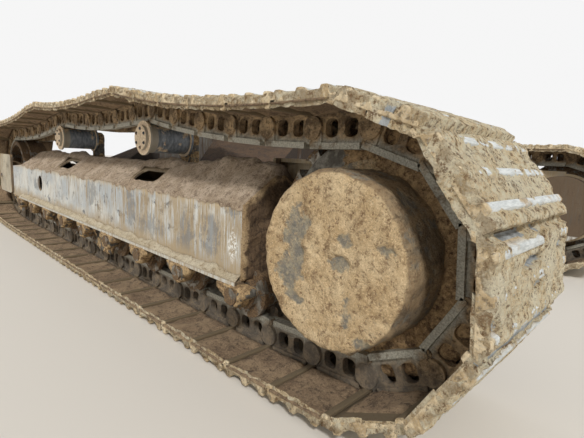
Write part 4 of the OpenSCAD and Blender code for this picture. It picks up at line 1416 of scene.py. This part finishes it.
RUNNING_STEEL = dirty_steel("running_steel", (158, 152, 140), (98, 92, 82),
                            (134, 108, 76), (82, 64, 46), 0.75)
CARRIER_STEEL = dirty_steel("carrier_steel", (150, 156, 162), (104, 110, 118),
                            (244, 224, 196), (206, 182, 150), 0.15, caps=0.40, metal=0.15)
RACE_STEEL = dirty_steel("race_steel", (168, 170, 170), (128, 130, 130),
                         (142, 132, 114), (110, 100, 84), 0.12, metal=0.35)
DARK_STEEL = dirty_steel("dark_steel", (84, 88, 92), (54, 57, 60),
                         (140, 116, 84), (92, 74, 54), 0.45, metal=0.1, rough=0.6)
paint_nodes(RUNNING_STEEL, "sprocket", "track_rollers", "idler", sides=BOTH_SIDES)
paint_nodes(CARRIER_STEEL, "carrier_rollers", sides=BOTH_SIDES)
paint_nodes(DARK_STEEL, "travel_motor", "recoil_unit", sides=BOTH_SIDES)
paint_nodes(DARK_STEEL, "belly_cover", "swivel_housing", "swivel_rotor")
paint_nodes(RACE_STEEL, "slew_inner_race", "slew_outer_race")
print("steels:", [m.name for m in (RUNNING_STEEL, CARRIER_STEEL, RACE_STEEL, DARK_STEEL)])

# %% [markdown]
# ## Bolts and fittings
# A bolt is a six-sided rod with softened edges on a round washer. It is modelled once for each size
# and copied to every place on the slewing ring, the belly cover and the swivel joint's flange. Each
# row of copies is joined to one piece.

# %% Model a bolt and copy it
def bolt(radius, height):
    """A washer and a six-sided head that stand on z = 0 and point along Z."""
    head = soften(rod_piece("head", radius, (0, 0, 0), (0, 0, height), 6), radius * 0.12, 1)
    washer = rod_piece("washer", radius * 1.35, (0, 0, -0.001), (0, 0, radius * 0.18), 20)
    return merge("bolt", [head, soften(washer, radius * 0.06, 1)])


def bolt_row(name, radius, height, spots, slot="dark_steel", material=DARK_STEEL):
    """One piece with a bolt at every (place, direction)."""
    start = bolt(radius, height)
    copies = []
    for place, direction in spots:
        turn = Vector(direction).to_track_quat("Z", "Y").to_matrix().to_4x4()
        copies.append(copy_of(start, name, Matrix.Translation(Vector(place)) @ turn))
    bpy.data.objects.remove(start)
    row = fasten(merge(name, copies), slot)
    paint_with(material, row)
    print(name + ":", len(spots))


def circle(radius, count, z):
    """Places for bolts that stand up on a circle, half a step away from +X."""
    turns = [(2 * i + 1) * math.pi / count for i in range(count)]
    return [((radius * math.cos(a), radius * math.sin(a), z), (0, 0, 1)) for a in turns]


INNER_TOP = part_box("slew_inner_race")[1].z
COVER_Z, COVER_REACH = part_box("belly_cover")[0].z, 0.29
FLANGE_TOP = 0.876
bolt_row("ring_bolts", 0.018, 0.0105, circle(0.600, 30, INNER_TOP), "race_steel", RACE_STEEL)
bolt_row("cover_bolts", 0.014, 0.010, [((x * COVER_REACH, y * COVER_REACH, COVER_Z), (0, 0, -1))
                                       for x in (-1, 0, 1) for y in (-1, 0, 1) if x or y])
bolt_row("swivel_bolts", 0.015, 0.012, circle(0.272, 12, FLANGE_TOP))

# %% [markdown]
# The slewing ring is sealed against dirt with a rubber lip in the gap between its races. It is a
# ring with a small round section, spun from one circle.

# %% Spin the ring's seal
def ring_piece(name, radius, section, z, steps=120):
    """A ring with a round section, lying flat at height z."""
    clear()
    bpy.ops.mesh.primitive_circle_add(vertices=10, radius=section, location=(radius, 0, z),
                                      rotation=(math.pi / 2, 0, 0))
    piece = bpy.context.object
    piece.name = name
    settle(piece)
    bpy.ops.object.mode_set(mode="EDIT")
    bpy.ops.mesh.select_all(action="SELECT")
    bpy.ops.mesh.spin(steps=steps, angle=2 * math.pi, center=(0, 0, z), axis=(0, 0, 1))
    return smooth(face_out(close_seams(piece)))


GAP_R = 0.6360
seal = fasten(ring_piece("ring_seal", GAP_R, 0.0050, INNER_TOP + 0.001), "dark_steel")
paint_with(DARK_STEEL, seal)
print("seal:", len(seal.data.polygons), "faces")

# %% [markdown]
# Where plates meet, the real machine has a weld bead. A grid is rolled up to a thin tube along the
# seam, sunk halfway into it, with the small ripples that a welder's hand leaves.

# %% Lay weld beads
RIPPLE = 0.013


def weld(start, end, radius=0.006):
    """A rippled bead from start to end."""
    start, end = Vector(start), Vector(end)
    length = (end - start).length
    turn = (end - start).to_track_quat("Z", "Y").to_matrix()
    clear()
    bpy.ops.mesh.primitive_grid_add(x_subdivisions=8, y_subdivisions=max(4, round(length / 0.006)), size=1)
    bead = bpy.context.object
    bead.name = "bead"
    points = get_points(bead)
    for point in points:
        angle, run = 2 * math.pi * (point[0] + 0.5), (point[1] + 0.5) * length
        r = radius * (1 + 0.13 * math.cos(2 * math.pi * run / RIPPLE + math.sin(angle)))
        point[:] = start + turn @ Vector((r * math.cos(angle), r * math.sin(angle), run))
    return smooth(face_out(close_seams(set_points(bead, points))))


# the corners of the car body's bevelled edge, its height, and the legs' feet on the track frames
BODY_FAR, BODY_NEAR, BODY_TOP, BODY_DEEP = 0.7670, 0.3735, 0.850, 0.335
LEG_X, LEG_Z = (0.560, 1.180), (0.311, 0.544)
PLATE_Y = FRAME_HALF - 0.0005
beads = [ring_piece("seat_bead", 0.746, 0.008, 0.861, 96)]
for sx in (-1, 1):
    for sy in (-1, 1):
        a = Vector((sx * BODY_FAR, sy * BODY_NEAR, BODY_TOP))
        b = Vector((sx * BODY_NEAR, sy * BODY_FAR, BODY_TOP))
        drop = Vector((0, 0, -BODY_DEEP))
        beads += [weld(a, b, 0.008), weld(a, a + drop), weld(b, b + drop)]
        y = sy * (TRACK_Y - PLATE_Y)
        beads += [weld((sx * LEG_X[0], y, z), (sx * LEG_X[1], y, z), 0.008) for z in LEG_Z]
        beads += [weld((sx * x, y, LEG_Z[0] + 0.001), (sx * x, y, LEG_Z[1] - 0.001))
                  for x in (LEG_X[0] + 0.001, LEG_X[1] - 0.001)]
body_welds = fasten(merge("body_welds", beads), "body_paint")
paint_with(SHADED_BODY_PAINT, body_welds)

LIP_WELD_Z = 0.2905
lines = [weld((REAR + 0.002, y, LIP_WELD_Z), (FRONT - 0.002, y, LIP_WELD_Z), 0.0055)
         for sy in (-1, 1) for y in (sy * TRACK_Y - PLATE_Y, sy * TRACK_Y + PLATE_Y)]
frame_welds = fasten(merge("frame_welds", lines), "frame_paint")
paint_with(FRAME_PAINT, frame_welds)
print("weld beads:", len(body_welds.data.polygons) + len(frame_welds.data.polygons), "faces")

# %% [markdown]
# The carrier rollers have a ring of small bolts round their caps. The ports of the swivel joint are
# closed with hexagonal plugs. A dark hexagonal plug also sits in the port in the outer plate of each
# idler's yoke, as painted shade for the port's dark hole.

# %% Fasten the rollers, the swivel and the yokes
CAP_R, CAP_FACE = 0.047, 0.1345
PORT_R, PORT_Z = 0.131, 0.740
YOKE_PORT = (SPROCKET.x + 4.226, 1.490, 0.433)
cap_z = middle("left_carrier_rollers").z
sixths = [(math.cos(a), math.sin(a)) for a in (math.pi / 6 + i * math.pi / 3 for i in range(6))]
quarters = [(math.cos(a), math.sin(a)) for a in (0, math.pi / 2, math.pi, 3 * math.pi / 2)]
bolt_row("cap_bolts", 0.0065, 0.006,
         [((SPROCKET.x + x + CAP_R * c, sy * (TRACK_Y + CAP_FACE), cap_z + CAP_R * s), (0, sy, 0))
          for sy in (-1, 1) for x in CARRIERS for c, s in sixths], "roller_steel")
bolt_row("port_plugs", 0.0165, 0.014, [((PORT_R * c, PORT_R * s, PORT_Z), (c, s, 0)) for c, s in quarters])
# painted shade: the yoke's dark plug stands for the shade in the hole of its port
bolt_row("yoke_plugs", 0.0165, 0.006,
         [((YOKE_PORT[0], sy * YOKE_PORT[1], YOKE_PORT[2]), (0, sy, 0)) for sy in (-1, 1)])

# %% [markdown]
# ## Floor, light and background
# The machine stands on a plain pale floor under soft studio light, so its colours render about as
# they are written. The background is plain too: the world's colour is near white for the camera
# and for reflections, and a middle grey for the light that falls on the machine.

# %% Set the floor and the light
LIT_BY, SEEN_AS = 0.62, 0.92
SUNBEAM = (0.55, -0.47, -0.69)

clear()
bpy.ops.mesh.primitive_plane_add(size=80, location=(0, 0, -0.002))
floor = bpy.context.object
floor.name = "floor"
settle(floor)
paint_with(Finish("floor").done(shade(214, 208, 198), 0.9), floor)

world = bpy.data.worlds.new("studio")
bpy.context.scene.world = world
world.use_nodes = True
nodes, links = world.node_tree.nodes, world.node_tree.links
rays = nodes.new("ShaderNodeLightPath")
seen = nodes.new("ShaderNodeMath")
seen.operation = "MAXIMUM"
links.new(rays.outputs["Is Camera Ray"], seen.inputs[0])
links.new(rays.outputs["Is Glossy Ray"], seen.inputs[1])
nodes["Background"].inputs["Color"].default_value = (1, 1, 1, 1)
strength = nodes.new("ShaderNodeMapRange")
links.new(seen.outputs[0], strength.inputs["Value"])
strength.inputs["To Min"].default_value = LIT_BY
strength.inputs["To Max"].default_value = SEEN_AS
links.new(strength.outputs["Result"], nodes["Background"].inputs["Strength"])

sun = bpy.data.lights.new("high_light", "SUN")
sun.energy = 2.1
sun.angle = math.radians(7)
lamp = bpy.data.objects.new("high_light", sun)
bpy.context.scene.collection.objects.link(lamp)
lamp.rotation_euler = Vector(SUNBEAM).to_track_quat("-Z", "Y").to_euler()
bpy.context.scene.view_settings.view_transform = "Standard"
print("world:", LIT_BY, "and", SEEN_AS, "sun:", round(sun.energy, 2))
